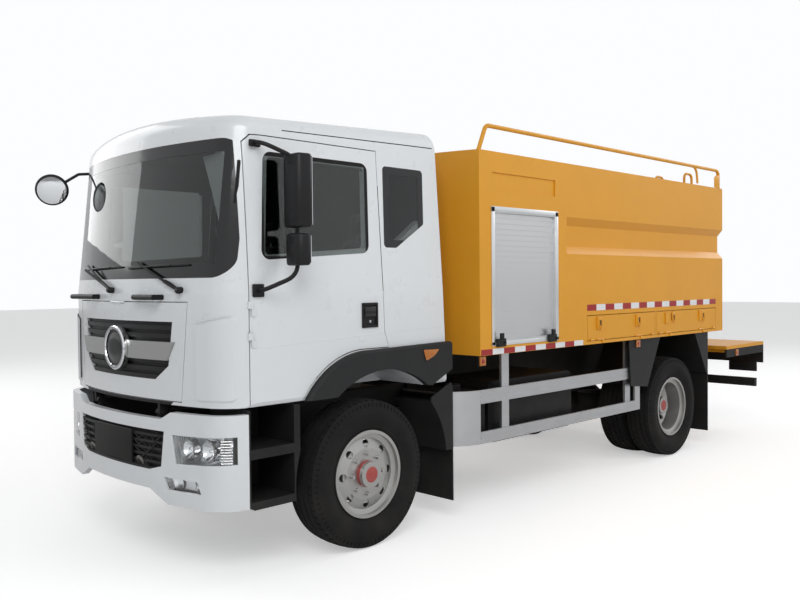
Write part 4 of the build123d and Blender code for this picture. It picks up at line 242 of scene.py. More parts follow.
@dataclass
class Effects:
    """Shader node groups that several finishes share."""

    groups: dict[str, Tree] = field(default_factory=dict)
    dust_color: Quad = (0.30, 0.27, 0.225, 1.0)
    dust_depth: float = 1.3
    dust_dulling: float = 0.45

    def tree(
        self,
        name: str,
        inputs: Iterable[tuple[str, str, float]],
        outputs: Iterable[tuple[str, str]],
    ) -> tuple:
        """Start a group with named sockets.

        Args:
            name: Name of the group.
            inputs: Name, socket type and default of each input.
            outputs: Name and socket type of each output.

        Returns:
            The tree, its input node and its output node.
        """
        tree = bpy.data.node_groups.new(name, "ShaderNodeTree")
        for label, kind, default in inputs:
            socket = tree.interface.new_socket(name=label, in_out="INPUT", socket_type=kind)
            if kind == "NodeSocketFloat":
                socket.default_value = default
        for label, kind in outputs:
            tree.interface.new_socket(name=label, in_out="OUTPUT", socket_type=kind)
        self.groups[name] = tree
        return tree, tree.nodes.new("NodeGroupInput"), tree.nodes.new("NodeGroupOutput")

    @staticmethod
    def node(tree: Tree, kind: str, links: dict, **settings: object) -> Node:
        """Add a node, set it and link its inputs.

        Args:
            tree: Tree that gets the node.
            kind: Blender's name of the node type.
            links: Input socket to either an output socket or a value.
            settings: Properties of the node itself.

        Returns:
            The new node.
        """
        node = tree.nodes.new(kind)
        for label, value in settings.items():
            setattr(node, label, value)
        for label, value in links.items():
            if isinstance(value, Socket):
                tree.links.new(value, node.inputs[label])
            else:
                node.inputs[label].default_value = value
        return node

    def noise(self, tree: Tree, scale: object, detail: float = 3.0) -> Socket:
        """Noise on object coordinates.

        Args:
            tree: Tree that gets the noise.
            scale: Socket or value of the scale.
            detail: Octaves of the noise.

        Returns:
            The noise value's socket.
        """
        place = tree.nodes.new("ShaderNodeTexCoord")
        return self.node(
            tree,
            "ShaderNodeTexNoise",
            {"Vector": place.outputs["Object"], "Scale": scale, "Detail": detail},
        ).outputs["Fac"]

    @staticmethod
    def math(tree: Tree, operation: str, *values: object, clamp: bool = False) -> Socket:
        """Result of a math node on sockets or numbers, held between 0 and 1 if clamped."""
        return Effects.node(
            tree, "ShaderNodeMath", dict(enumerate(values)), operation=operation, use_clamp=clamp
        ).outputs[0]

    def mix(self, tree: Tree, share: object, first: object, second: object) -> Socket:
        """Colour between two colours, by a share."""
        node = tree.nodes.new("ShaderNodeMix")
        node.data_type = "RGBA"
        for index, value in ((0, share), (6, first), (7, second)):
            if isinstance(value, Socket):
                tree.links.new(value, node.inputs[index])
            else:
                node.inputs[index].default_value = value
        return node.outputs[2]

    def build(self) -> "Effects":
        """Make every shared group."""
        self.build_tone()
        self.build_dust()
        self.build_sheen()
        self.build_relief()
        self.build_weave()
        return self

    def build_tone(self) -> None:
        """Slow drift of a colour over a surface."""
        tree, source, target = self.tree(
            "tone_drift",
            (("Color", "NodeSocketColor", 0), ("Amount", "NodeSocketFloat", 0.05)),
            (("Color", "NodeSocketColor"),),
        )
        share = self.math(
            tree, "MULTIPLY", self.noise(tree, 2.3, 4.0), source.outputs["Amount"], clamp=True
        )
        dark = self.mix(tree, share, source.outputs["Color"], (0.0, 0.0, 0.0, 1.0))
        tree.links.new(dark, target.inputs["Color"])

    def build_dust(self) -> None:
        """Road dust that thins out with height, and gathers in patches."""
        tree, source, target = self.tree(
            "road_dust",
            (
                ("Color", "NodeSocketColor", 0),
                ("Amount", "NodeSocketFloat", 0.3),
                ("Level", "NodeSocketFloat", 1.6),
            ),
            (("Color", "NodeSocketColor"), ("Mask", "NodeSocketFloat")),
        )
        place = tree.nodes.new("ShaderNodeTexCoord")
        height = self.node(tree, "ShaderNodeSeparateXYZ", {0: place.outputs["Object"]}).outputs["Z"]
        depth = self.math(tree, "SUBTRACT", source.outputs["Level"], height)
        low = self.math(tree, "DIVIDE", depth, self.dust_depth, clamp=True)
        patches = self.node(
            tree,
            "ShaderNodeMapRange",
            {0: self.noise(tree, 5.5, 6.0), 1: 0.32, 2: 0.72, 3: 0.25, 4: 1.0},
        ).outputs[0]
        share = self.math(tree, "MULTIPLY", low, patches, clamp=True)
        mask = self.math(tree, "MULTIPLY", share, source.outputs["Amount"], clamp=True)
        dusty = self.mix(tree, mask, source.outputs["Color"], self.dust_color)
        tree.links.new(dusty, target.inputs["Color"])
        tree.links.new(mask, target.inputs["Mask"])

    def build_sheen(self) -> None:
        """Uneven gloss, duller where dust lies."""
        tree, source, target = self.tree(
            "uneven_gloss",
            (
                ("Roughness", "NodeSocketFloat", 0.5),
                ("Spread", "NodeSocketFloat", 0.05),
                ("Dull", "NodeSocketFloat", 0.0),
            ),
            (("Roughness", "NodeSocketFloat"),),
        )
        drift = self.math(tree, "SUBTRACT", self.noise(tree, 9.0, 5.0), 0.5)
        change = self.math(tree, "MULTIPLY", drift, source.outputs["Spread"])
        part = self.math(tree, "ADD", source.outputs["Roughness"], change)
        dull = self.math(tree, "MULTIPLY", source.outputs["Dull"], self.dust_dulling, clamp=True)
        tree.links.new(self.math(tree, "ADD", part, dull, clamp=True), target.inputs["Roughness"])

    def build_relief(self) -> None:
        """Fine grain as a normal."""
        tree, source, target = self.tree(
            "fine_relief",
            (("Scale", "NodeSocketFloat", 200), ("Strength", "NodeSocketFloat", 0.1)),
            (("Normal", "NodeSocketVector"),),
        )
        grain = self.noise(tree, source.outputs["Scale"], 2.0)
        bump = self.node(
            tree,
            "ShaderNodeBump",
            {"Height": grain, "Strength": source.outputs["Strength"], "Distance": 0.002},
        )
        tree.links.new(bump.outputs["Normal"], target.inputs["Normal"])

    def build_weave(self) -> None:
        """Woven seat cloth: crossed threads as colour share and normal."""
        tree, source, target = self.tree(
            "cloth_weave",
            (("Pitch", "NodeSocketFloat", 500),),
            (("Thread", "NodeSocketFloat"), ("Normal", "NodeSocketVector")),
        )
        place = tree.nodes.new("ShaderNodeTexCoord")
        waves = []
        for direction in ("X", "Z"):
            waves.append(
                self.node(
                    tree,
                    "ShaderNodeTexWave",
                    {"Vector": place.outputs["Object"], "Scale": source.outputs["Pitch"]},
                    bands_direction=direction,
                ).outputs["Fac"]
            )
        thread = self.math(tree, "MAXIMUM", *waves)
        bump = self.node(
            tree, "ShaderNodeBump", {"Height": thread, "Strength": 0.2, "Distance": 0.001}
        )
        tree.links.new(thread, target.inputs["Thread"])
        tree.links.new(bump.outputs["Normal"], target.inputs["Normal"])


@dataclass
class Palette:
    """Materials made from finishes, each built once."""

    effects: Effects
    made: dict[str, Material] = field(default_factory=dict)

    def material(self, finish: Finish) -> Material:
        """Material of a finish.

        Args:
            finish: The finish.

        Returns:
            Its material, built at the first request.
        """
        if finish.name in self.made:
            return self.made[finish.name]
        material = bpy.data.materials.new(finish.name)
        material.use_nodes = True
        tree = material.node_tree
        shader = tree.nodes["Principled BSDF"]
        for label, value in finish.shader_values().items():
            shader.inputs[label].default_value = value
        if finish.kind is Surface.GLASS:
            shader.inputs["Base Color"].default_value = (*finish.color, 1.0)
            shader.inputs["Roughness"].default_value = finish.roughness
            self.let_light_in(tree, shader)
        else:
            self.add_effects(tree, shader, finish)
        self.made[finish.name] = material
        return material

    def add_effects(self, tree: Tree, shader: Node, finish: Finish) -> None:
        """Feed the shader from the shared groups, each with the finish's own values.

        Args:
            tree: Node tree of the material.
            shader: Its Principled BSDF.
            finish: The finish.
        """
        toned = self.place(
            tree, "tone_drift", {"Color": (*finish.color, 1.0), "Amount": finish.mottle}
        )
        dusty = self.place(
            tree, "road_dust", {"Color": toned.outputs["Color"], "Amount": finish.dust}
        )
        gloss = self.place(
            tree,
            "uneven_gloss",
            {"Roughness": finish.roughness, "Spread": finish.spread, "Dull": dusty.outputs["Mask"]},
        )
        tree.links.new(dusty.outputs["Color"], shader.inputs["Base Color"])
        tree.links.new(gloss.outputs["Roughness"], shader.inputs["Roughness"])
        if finish.kind is Surface.CLOTH:
            relief = self.place(tree, "cloth_weave", {"Pitch": finish.relief_scale})
        else:
            relief = self.place(
                tree, "fine_relief", {"Scale": finish.relief_scale, "Strength": finish.relief}
            )
        tree.links.new(relief.outputs["Normal"], shader.inputs["Normal"])

    @staticmethod
    def let_light_in(tree: Tree, shader: Node, share: float = 0.7) -> None:
        """Let a share of the lamps' light pass through glass to what stands behind it."""
        paths = tree.nodes.new("ShaderNodeLightPath")
        unseen = Effects.math(
            tree, "MAXIMUM", paths.outputs["Is Shadow Ray"], paths.outputs["Is Diffuse Ray"]
        )
        passing = Effects.math(tree, "MULTIPLY", unseen, share)
        tree.links.new(Effects.math(tree, "SUBTRACT", 1.0, passing), shader.inputs["Alpha"])

    def place(self, tree: Tree, group: str, links: dict) -> Node:
        """Place a shared group in a material."""
        return Effects.node(tree, "ShaderNodeGroup", links, node_tree=self.effects.groups[group])


class Form:
    """A mesh that bmesh operators shape, one solid after another."""

    def __init__(self) -> None:
        """Start an empty form."""
        self.mesh = bmesh.new()

    def block(self, low: Point, high: Point, radius: float = 0.003, segments: int = 2) -> "Form":
        """Add a block with rounded edges.

        Args:
            low: Lowest corner.
            high: Highest corner.
            radius: Radius of its edges.
            segments: Segments of each rounded edge.

        Returns:
            The form itself.
        """
        verts = bmesh.ops.create_cube(self.mesh, size=1.0)["verts"]
        bmesh.ops.scale(self.mesh, vec=[b - a for a, b in zip(low, high)], verts=verts)
        bmesh.ops.translate(self.mesh, vec=[(a + b) / 2 for a, b in zip(low, high)], verts=verts)
        self.round_edges({edge for vert in verts for edge in vert.link_edges}, radius, segments)
        return self

    def round_edges(
        self,
        edges: Iterable[bmesh.types.BMEdge],
        radius: float,
        segments: int = 2,
    ) -> None:
        """Bevel edges of the form."""
        bmesh.ops.bevel(
            self.mesh, geom=list(edges), offset=radius, offset_type="OFFSET", segments=segments,
            profile=0.5, affect="EDGES", clamp_overlap=True, material=-1,
        )

    def lathe(self, profile: Sequence[Pair], centre: Point, axis: Point, steps: int = 40) -> "Form":
        """Add a turned shape.

        Args:
            profile: Radius and distance along the axis of each point.
            centre: Point on the axis from which distances count.
            axis: Direction of the axis.
            steps: Steps of a full turn.

        Returns:
            The form itself.
        """
        along = Vector(axis).normalized()
        out = along.orthogonal().normalized()
        foot = Vector(centre)
        verts = [
            self.mesh.verts.new(foot + out * radius + along * step) for radius, step in profile
        ]
        edges = [self.mesh.edges.new(pair) for pair in zip(verts, verts[1:])]
        old = set(self.mesh.faces)
        bmesh.ops.spin(
            self.mesh, geom=verts + edges, cent=foot, axis=along, dvec=(0, 0, 0), angle=math.tau,
            steps=steps, use_merge=True, use_duplicate=False,
        )
        self.close_up([face for face in self.mesh.faces if face not in old])
        return self

    def close_up(self, faces: Sequence[Face]) -> None:
        """Merge doubles of new faces and turn them outwards."""
        verts = list({vert for face in faces for vert in face.verts})
        bmesh.ops.remove_doubles(self.mesh, verts=verts, dist=1e-5)
        bmesh.ops.recalc_face_normals(self.mesh, faces=[face for face in faces if face.is_valid])

    def pipe(
        self,
        points: Sequence[Point],
        radius: float,
        sides: int = 12,
        closed: bool = False,
        soft: bool = False,
    ) -> "Form":
        """Add a round bar along points.

        Args:
            points: Points of its centre line.
            radius: Radius of the bar.
            sides: Sides of its section.
            closed: Whether it runs back into itself.
            soft: Whether the line is a smooth curve near the points.

        Returns:
            The form itself.
        """
        data = bpy.data.curves.new("route", "CURVE")
        data.dimensions = "3D"
        data.bevel_depth = radius
        data.bevel_resolution = max(1, sides // 4 - 1)
        data.use_fill_caps = True
        spline = data.splines.new("NURBS" if soft else "POLY")
        spline.points.add(len(points) - 1)
        for target, place in zip(spline.points, points):
            target.co = (*place, 1.0)
        spline.use_cyclic_u = closed
        if soft:
            spline.order_u = 3
            spline.use_endpoint_u = not closed
            spline.resolution_u = 8
        holder = bpy.data.objects.new("route", data)
        made = bpy.data.meshes.new_from_object(holder)
        old = set(self.mesh.faces)
        self.mesh.from_mesh(made)
        self.close_up([face for face in self.mesh.faces if face not in old])
        bpy.data.objects.remove(holder)
        bpy.data.meshes.remove(made)
        return self

    def plate(
        self,
        outline: Sequence[Pair],
        origin: Point,
        across: Point,
        up: Point,
        depth: float,
        radius: float = 0.0,
        corner: float = 0.0,
    ) -> "Form":
        """Add a plate from an outline.

        Args:
            outline: Points of the outline, across and up from the origin.
            origin: Where the outline's zero lies.
            across: Direction of its first distance.
            up: Direction of its second distance.
            depth: Thickness, along across x up.
            radius: Radius of the edges of its front and back.
            corner: Radius of the outline's corners.

        Returns:
            The form itself.
        """
        first, second = Vector(across).normalized(), Vector(up).normalized()
        normal = first.cross(second)
        verts = [self.mesh.verts.new(Vector(origin) + first * a + second * b) for a, b in outline]
        face = self.mesh.faces.new(verts)
        old = set(self.mesh.faces) - {face}
        grown = bmesh.ops.extrude_face_region(self.mesh, geom=[face])
        lifted = [item for item in grown["geom"] if isinstance(item, bmesh.types.BMVert)]
        bmesh.ops.translate(self.mesh, vec=normal * depth, verts=lifted)
        if corner:
            upright = [
                edge for edge in self.mesh.edges
                if (set(edge.verts) & set(lifted)) and (set(edge.verts) & set(verts))
            ]
            self.round_edges(upright, corner, 4)
        faces = [item for item in self.mesh.faces if item not in old]
        if radius:
            rims = [
                edge for edge in {edge for item in faces for edge in item.edges}
                if edge.calc_face_angle(0.0) > 0.9 and self.lies_flat(edge, normal)
            ]
            self.round_edges(rims, radius, 2)
            faces = [item for item in self.mesh.faces if item not in old]
        bmesh.ops.recalc_face_normals(self.mesh, faces=faces)
        return self

    @staticmethod
    def lies_flat(edge: bmesh.types.BMEdge, normal: Vector) -> bool:
        """Whether an edge runs at right angles to a direction."""
        return abs((edge.verts[0].co - edge.verts[1].co).dot(normal)) < 1e-5

    def twin(self) -> "Form":
        """Add the form's own copy on the other side of the truck."""
        made = bmesh.ops.duplicate(
            self.mesh, geom=self.mesh.verts[:] + self.mesh.edges[:] + self.mesh.faces[:]
        )
        verts = [item for item in made["geom"] if isinstance(item, bmesh.types.BMVert)]
        faces = [item for item in made["geom"] if isinstance(item, Face)]
        bmesh.ops.scale(self.mesh, vec=(-1, 1, 1), verts=verts)
        bmesh.ops.reverse_faces(self.mesh, faces=faces)
        return self

    def flipped(self, side: Side) -> "Form":
        """Move a form made for the left to the given side."""
        if side is Side.RIGHT:
            bmesh.ops.scale(self.mesh, vec=(-1, 1, 1), verts=self.mesh.verts[:])
            bmesh.ops.reverse_faces(self.mesh, faces=self.mesh.faces[:])
        return self


@dataclass
class Workshop:
    """Turns forms into dressed pieces that ride on a body."""

    palette: Palette
    nodes: dict[str, Item]
    count: int = 0

    def piece(
        self,
        name: str,
        form: Form,
        finish: Finish,
        body: str,
        replaces: Sequence[str] = (),
        sharp: float = 32.0,
    ) -> Item:
        """Make a form into a piece of the truck.

        Args:
            name: Name of the piece.
            form: Its shape, which is used up.
            finish: Its finish.
            body: Body that it rides on.
            replaces: Nodes that it stands for.
            sharp: Angle in degrees past which an edge stays sharp.

        Returns:
            The new object.
        """
        data = bpy.data.meshes.new(name)
        form.mesh.to_mesh(data)
        form.mesh.free()
        data.shade_smooth()
        data.set_sharp_from_angle(angle=math.radians(sharp))
        data.materials.append(self.palette.material(finish))
        item = bpy.data.objects.new(name, data)
        bpy.context.scene.collection.objects.link(item)
        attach(item, body)
        if replaces:
            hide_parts(*replaces)
        self.count += 1
        LOG.info("%s: %d faces on %s", name, len(data.polygons), body)
        return item

    def pieces(self, body: str, *rows: tuple) -> None:
        """Make several forms into pieces on one body.

        Args:
            body: Body that they ride on.
            rows: Name, form and finish of each, then any replaced nodes and sharp angle.
        """
        for name, form, finish, *rest in rows:
            self.piece(name, form, finish, body, *rest)

    def side_pieces(self, side: Side, body: str, *rows: tuple) -> None:
        """Make forms built for the left into pieces of one side.

        Args:
            side: Side of the truck.
            body: Body that they ride on.
            rows: As for pieces, with the name's end left out.
        """
        for name, form, *rest in rows:
            self.pieces(body, (f"{name}_{side.word}", form.flipped(side), *rest))

    def dress(self, name: str, finish: Finish) -> None:
        """Give a CAD node a finish."""
        item = self.nodes[name]
        material = self.palette.material(finish)
        if item.data.materials:
            for index in range(len(item.data.materials)):
                item.data.materials[index] = material
        else:
            item.data.materials.append(material)

    def copy_of(self, name: str) -> Form:
        """Form with a CAD node's faces, merged."""
        form = Form()
        form.mesh.from_mesh(self.nodes[name].data)
        bmesh.ops.remove_doubles(form.mesh, verts=form.mesh.verts[:], dist=1e-5)
        return form


@dataclass
class Studio:
    """Camera, lamps, floor and backdrop."""

    position: Triple = (5.2599, -6.3748, 1.8059)
    yaw: float = 0.788712
    pitch: float = -0.0209213
    roll: float = -0.00942797
    lens: float = 37.663
    floor_half: float = 60.0
    target: Triple = (0.0, -0.5, 1.3)
    gloss_share: float = 0.8
    fill: float = 0.27
    floor_glow: float = 0.42
    unmirrored: str = "left"
    lamps: tuple[tuple[str, Triple, float, float], ...] = (
        ("key", (9.0, -10.0, 9.0), 7.0, 760.0),
        ("side", (-11.0, -6.0, 7.0), 8.0, 360.0),
        ("back", (3.0, 12.0, 9.0), 8.0, 380.0),
        ("left", (11.0, 3.0, 6.0), 7.0, 330.0),
    )

    def build(self) -> None:
        """Set up the whole studio."""
        self.build_camera()
        self.build_world()
        self.build_floor()
        for row in self.lamps:
            self.lamp(*row)
        bpy.context.scene.view_settings.view_transform = "Standard"

    def build_camera(self) -> None:
        """Place the camera where the photograph was taken."""
        data = bpy.data.cameras.new("camera")
        data.lens = self.lens
        data.sensor_width = 36.0
        data.clip_end = 400.0
        ahead = Vector((
            -math.sin(self.yaw) * math.cos(self.pitch),
            math.cos(self.yaw) * math.cos(self.pitch),
            math.sin(self.pitch),
        ))
        right = ahead.cross(Vector((0, 0, 1))).normalized()
        upward = right.cross(ahead)
        turned_right = right * math.cos(self.roll) + upward * math.sin(self.roll)
        turned_up = upward * math.cos(self.roll) - right * math.sin(self.roll)
        camera = bpy.data.objects.new("camera", data)
        turn = Matrix((turned_right, turned_up, -ahead)).transposed().to_4x4()
        camera.matrix_world = Matrix.Translation(self.position) @ turn
        bpy.context.scene.collection.objects.link(camera)
        bpy.context.scene.camera = camera

    def build_world(self) -> None:
        """Soft even light, and a white backdrop for the camera, gloss and glass."""
        world = bpy.data.worlds.new("studio")
        world.use_nodes = True
        tree = world.node_tree
        back = tree.nodes["Background"]
        paths = tree.nodes.new("ShaderNodeLightPath")
        seen = Effects.math(
            tree, "MAXIMUM", paths.outputs["Is Camera Ray"], paths.outputs["Is Transmission Ray"]
        )
        gloss = Effects.math(tree, "MULTIPLY", paths.outputs["Is Glossy Ray"], self.gloss_share)
        share = Effects.math(tree, "MAXIMUM", seen, gloss)
        strength = Effects.node(
            tree, "ShaderNodeMapRange", {0: share, 1: 0.0, 2: 1.0, 3: self.fill, 4: 1.0}).outputs[0]
        tree.links.new(strength, back.inputs["Strength"])
        back.inputs["Color"].default_value = (0.97, 0.985, 1.0, 1.0)
        bpy.context.scene.world = world

    def build_floor(self) -> None:
        """Plain pale floor that keeps the truck's shadow."""
        form = Form()
        bmesh.ops.create_grid(form.mesh, x_segments=1, y_segments=1, size=self.floor_half)
        data = bpy.data.meshes.new("floor")
        form.mesh.to_mesh(data)
        form.mesh.free()
        material = bpy.data.materials.new("floor_paper")
        material.use_nodes = True
        tree = material.node_tree
        shader = tree.nodes["Principled BSDF"]
        shader.inputs["Base Color"].default_value = (0.88, 0.88, 0.88, 1.0)
        shader.inputs["Roughness"].default_value = 0.85
        shader.inputs["Emission Color"].default_value = (1.0, 1.0, 1.0, 1.0)
        paths = tree.nodes.new("ShaderNodeLightPath")
        seen = Effects.math(tree, "MULTIPLY", paths.outputs["Is Camera Ray"], self.floor_glow)
        tree.links.new(seen, shader.inputs["Emission Strength"])
        data.materials.append(material)
        floor = bpy.data.objects.new("floor", data)
        bpy.context.scene.collection.objects.link(floor)

    def lamp(self, name: str, place: Point, size: float, power: float) -> None:
        """Add a soft area lamp aimed at the truck's middle; no window mirrors the left one."""
        data = bpy.data.lights.new(name, "AREA")
        data.shape = "SQUARE"
        data.size = size
        data.energy = power
        lamp = bpy.data.objects.new(name, data)
        aim = Vector(self.target) - Vector(place)
        lamp.visible_glossy = name != self.unmirrored
        turn = aim.to_track_quat("-Z", "Y").to_matrix().to_4x4()
        lamp.matrix_world = Matrix.Translation(place) @ turn
        bpy.context.scene.collection.objects.link(lamp)


NODE_FINISHES: dict[str, Finish] = {
    "arch_trims": ARCH_GREY,
    "body_box": YELLOW,
    "bumper_trim": TRIM_BLACK,
    "cab_fittings": TRIM_BLACK,
    "cab_glass": GLASS,
    "cab_shell": WHITE,
    "chassis_frame": FRAME_BLACK,
    "dashboard": DASH,
    "driveline": STEEL,
    "engine_block": IRON,
    "front_axle_beam": FRAME_BLACK,
    "front_bumper": WHITE,
    "front_flap": WHITE,
    "front_grille": TRIM_BLACK,
    "grille_bar": BAR_SILVER,
    "headlamps": CLEAR,
    "leaf_springs": FRAME_BLACK,
    "mudguards": TRIM_BLACK,
    "rear_axle": FRAME_BLACK,
    "rear_platform": YELLOW,
    "rear_underrun": FRAME_BLACK,
    "roller_shutters": SHUTTER,
    "roof_rails": YELLOW,
    "seat_bases": DASH,
    "seats": SEAT_CLOTH,
    "side_guards": ALUMINIUM,
    "side_tanks": TANK_BLACK,
    "signal_lamps": TRIM_BLACK,
    "suction_inlet": ALUMINIUM,
    "tie_rod": STEEL,
}
SIDE_FINISHES: dict[str, Finish] = {
    "door": WHITE,
    "door_glass": GLASS,
    "door_mirrors": MIRROR_BLACK,
    "front_rim": RIM_SILVER,
    "rear_rims": RIM_SILVER,
    "knuckle": IRON,
    "front_tyre": TYRE,
    "rear_tyres": TYRE,
    "side_flap_1": YELLOW,
    "side_flap_2": YELLOW,
}


@dataclass
class NodeDresser:
    """Gives every CAD node its finish, and a lining where it faces the cabin."""

    shop: Workshop
    cabin_centre: Triple = (0.0, aft(-0.25), 2.0)
    lug_top: float = 1.074
    lug_reach: float = 0.6
    lug_back: float = -1.0
    lining_foot: float = 1.15
    lining_share: float = 0.35

    def build(self) -> None:
        """Dress all nodes."""
        for name, finish in NODE_FINISHES.items():
            self.shop.dress(name, finish)
        for stem, finish in SIDE_FINISHES.items():
            for side in Side:
                self.shop.dress(f"{stem}_{side.word}", finish)
        self.line_inside("cab_shell", LINING)
        self.darken_lugs()
        for side in Side:
            self.line_inside(f"door_{side.word}", DASH)
        LOG.info("dressed %d nodes", len(self.shop.nodes))

    def darken_lugs(self) -> None:
        """Paint the tilting lugs under the cab's front in the black of the frame."""
        data = self.shop.nodes["cab_shell"].data
        data.materials.append(self.shop.palette.material(FRAME_BLACK))
        for polygon in data.polygons:
            x, y, z = polygon.center
            if z < self.lug_top and abs(x) < self.lug_reach and y < aft(self.lug_back):
                polygon.material_index = len(data.materials) - 1

    def line_inside(self, name: str, finish: Finish) -> None:
        """Give the faces of a node that look into the cabin their own finish.

        Args:
            name: Name of the node.
            finish: Finish of its inner faces.
        """
        data = self.shop.nodes[name].data
        data.materials.append(self.shop.palette.material(finish))
        centre = Vector(self.cabin_centre)
        for polygon in data.polygons:
            toward = centre - polygon.center
            faces_in = polygon.normal.dot(toward) > self.lining_share * toward.length
            if faces_in and polygon.center.z > self.lining_foot:
                polygon.material_index = len(data.materials) - 1


@dataclass
class Tyre:
    """One tyre with ribs, shoulder cuts and a stepped sidewall."""

    radius: float = 0.506
    half_width: float = 0.138
    tread_half: float = 0.118
    drop: float = 0.009
    seat: float = 0.2865
    bead_half: float = 0.104
    steps: int = 240
    groove_depth: float = 0.012
    groove_half: float = 0.005
    grooves: tuple[float, ...] = (-0.078, -0.028, 0.028, 0.078)
    tread_from: float = 0.484
    rib_band: Pair = (0.458, 0.482)
    rib_pitch: int = 3
    cut_wall: float = 0.0012
    cut_depth: float = 0.005

    def crown(self, across: float) -> float:
        """Radius of the tread at a distance from its middle."""
        return self.radius - self.drop * (across / self.tread_half) ** 2

    def section(self) -> list[Pair]:
        """Radius and distance of the points around the tyre's section."""
        wall = [
            (self.seat, self.bead_half - 0.006), (0.299, self.bead_half), (0.312, 0.112),
            (0.318, 0.1195), (0.330, 0.1215), (0.336, 0.1265), (0.362, 0.1335), (0.366, 0.1362),
            (0.402, self.half_width), (0.430, 0.1366), (0.434, 0.1342), (0.458, 0.1290),
            (0.482, 0.1225), (0.4925, self.tread_half + 0.001),
        ]
        tread: list[Pair] = [(self.crown(self.tread_half), -self.tread_half)]
        for middle in self.grooves:
            top = self.crown(middle)
            tread += [
                (top, middle - self.groove_half),
                (top - self.groove_depth, middle - self.groove_half * 0.6),
                (top - self.groove_depth, middle + self.groove_half * 0.6),
                (top, middle + self.groove_half),
            ]
        tread.append((self.crown(self.tread_half), self.tread_half))
        return [(r, -a) for r, a in wall] + tread + wall[::-1] + [
            (self.seat, -self.bead_half + 0.006)
        ]

    def add_to(self, form: Form, centre: Point, cuts: Sequence[tuple[float, float, int]]) -> None:
        """Add the tyre to a form.

        Args:
            form: Form that gets the tyre.
            centre: Centre of the tyre.
            cuts: Low and high distance of a rib's band and how many steps lie from cut to cut.
        """
        old = set(form.mesh.faces)
        form.lathe(self.section(), centre, (1, 0, 0), self.steps)
        middle = Vector(centre)
        chosen = []
        for face in form.mesh.faces:
            if face in old:
                continue
            place = face.calc_center_median() - middle
            out = math.hypot(place.y, place.z)
            index = round((math.atan2(place.z, place.y) / math.tau) * self.steps - 0.5)
            band = self.tread_from < out and abs(face.normal.x) < 0.5
            for low, high, pitch in cuts:
                shift = pitch // 2 if place.x < 0 else 0
                if band and low < abs(place.x) < high and (index + shift) % pitch == 0:
                    chosen.append(face)
            if self.rib_band[0] < out < self.rib_band[1] and index % self.rib_pitch == 0:
                chosen.append(face)
        bmesh.ops.inset_individual(
            form.mesh, faces=chosen, thickness=self.cut_wall, depth=-self.cut_depth
        )


@dataclass
class Wheels:
    """All tyres and hub caps."""

    shop: Workshop
    tyre: Tyre = field(default_factory=Tyre)
    front_x: float = 0.968
    twin_outer_x: float = 1.012
    twin_spacing: float = 0.311
    rear_hub_end: float = 1.038
    shoulder: tuple[float, float, int] = (0.084, 0.118, 4)
    blocks: tuple[float, float, int] = (0.034, 0.072, 5)
    cap_lift: float = 0.001
    cap_profile: tuple[Pair, ...] = (
        (0.0, 0.0), (0.052, 0.0), (0.064, -0.006), (0.068, -0.022), (0.083, -0.024),
        (0.0895, -0.030), (0.0895, -0.06), (0.0, -0.06),
    )

    def build(self) -> None:
        """Make the tyres and caps of both axles."""
        for side in Side:
            self.build_front(side)
            self.build_rear(side)

    def build_front(self, side: Side) -> None:
        """Front tyre with its hub cap."""
        body = f"front_wheel_{side.word}"
        form = Form()
        self.tyre.add_to(form, (self.front_x, FRONT_AXLE_Y, WHEEL_LEVEL), (self.shoulder,))
        self.shop.piece(
            f"front_tread_{side.word}", form.flipped(side), TYRE, body, (f"front_tyre_{side.word}",)
        )
        low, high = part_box(f"front_rim_{side.word}")
        self.build_cap(side, body, max(abs(low[0]), abs(high[0])), FRONT_AXLE_Y, "front")

    def build_rear(self, side: Side) -> None:
        """Twin rear tyres with their hub cap."""
        body = f"rear_wheels_{side.word}"
        form = Form()
        for x in (self.twin_outer_x, self.twin_outer_x - self.twin_spacing):
            self.tyre.add_to(form, (x, REAR_AXLE_Y, WHEEL_LEVEL), (self.shoulder, self.blocks))
        self.shop.piece(
            f"rear_treads_{side.word}", form.flipped(side), TYRE, body, (f"rear_tyres_{side.word}",)
        )
        self.build_cap(side, body, self.rear_hub_end, REAR_AXLE_Y, "rear")

    def build_cap(self, side: Side, body: str, face_x: float, y: float, word: str) -> None:
        """Red hub cap with a stepped edge."""
        form = Form()
        form.lathe(self.cap_profile, (face_x + self.cap_lift, y, WHEEL_LEVEL), (1, 0, 0), 48)
        self.shop.piece(f"{word}_hub_cap_{side.word}", form.flipped(side), HUB_RED, body)


def configure_log() -> None:
    """Send progress lines to the standard output."""
    logging.basicConfig(level=logging.INFO, format="%(name)s: %(message)s", stream=sys.stdout)


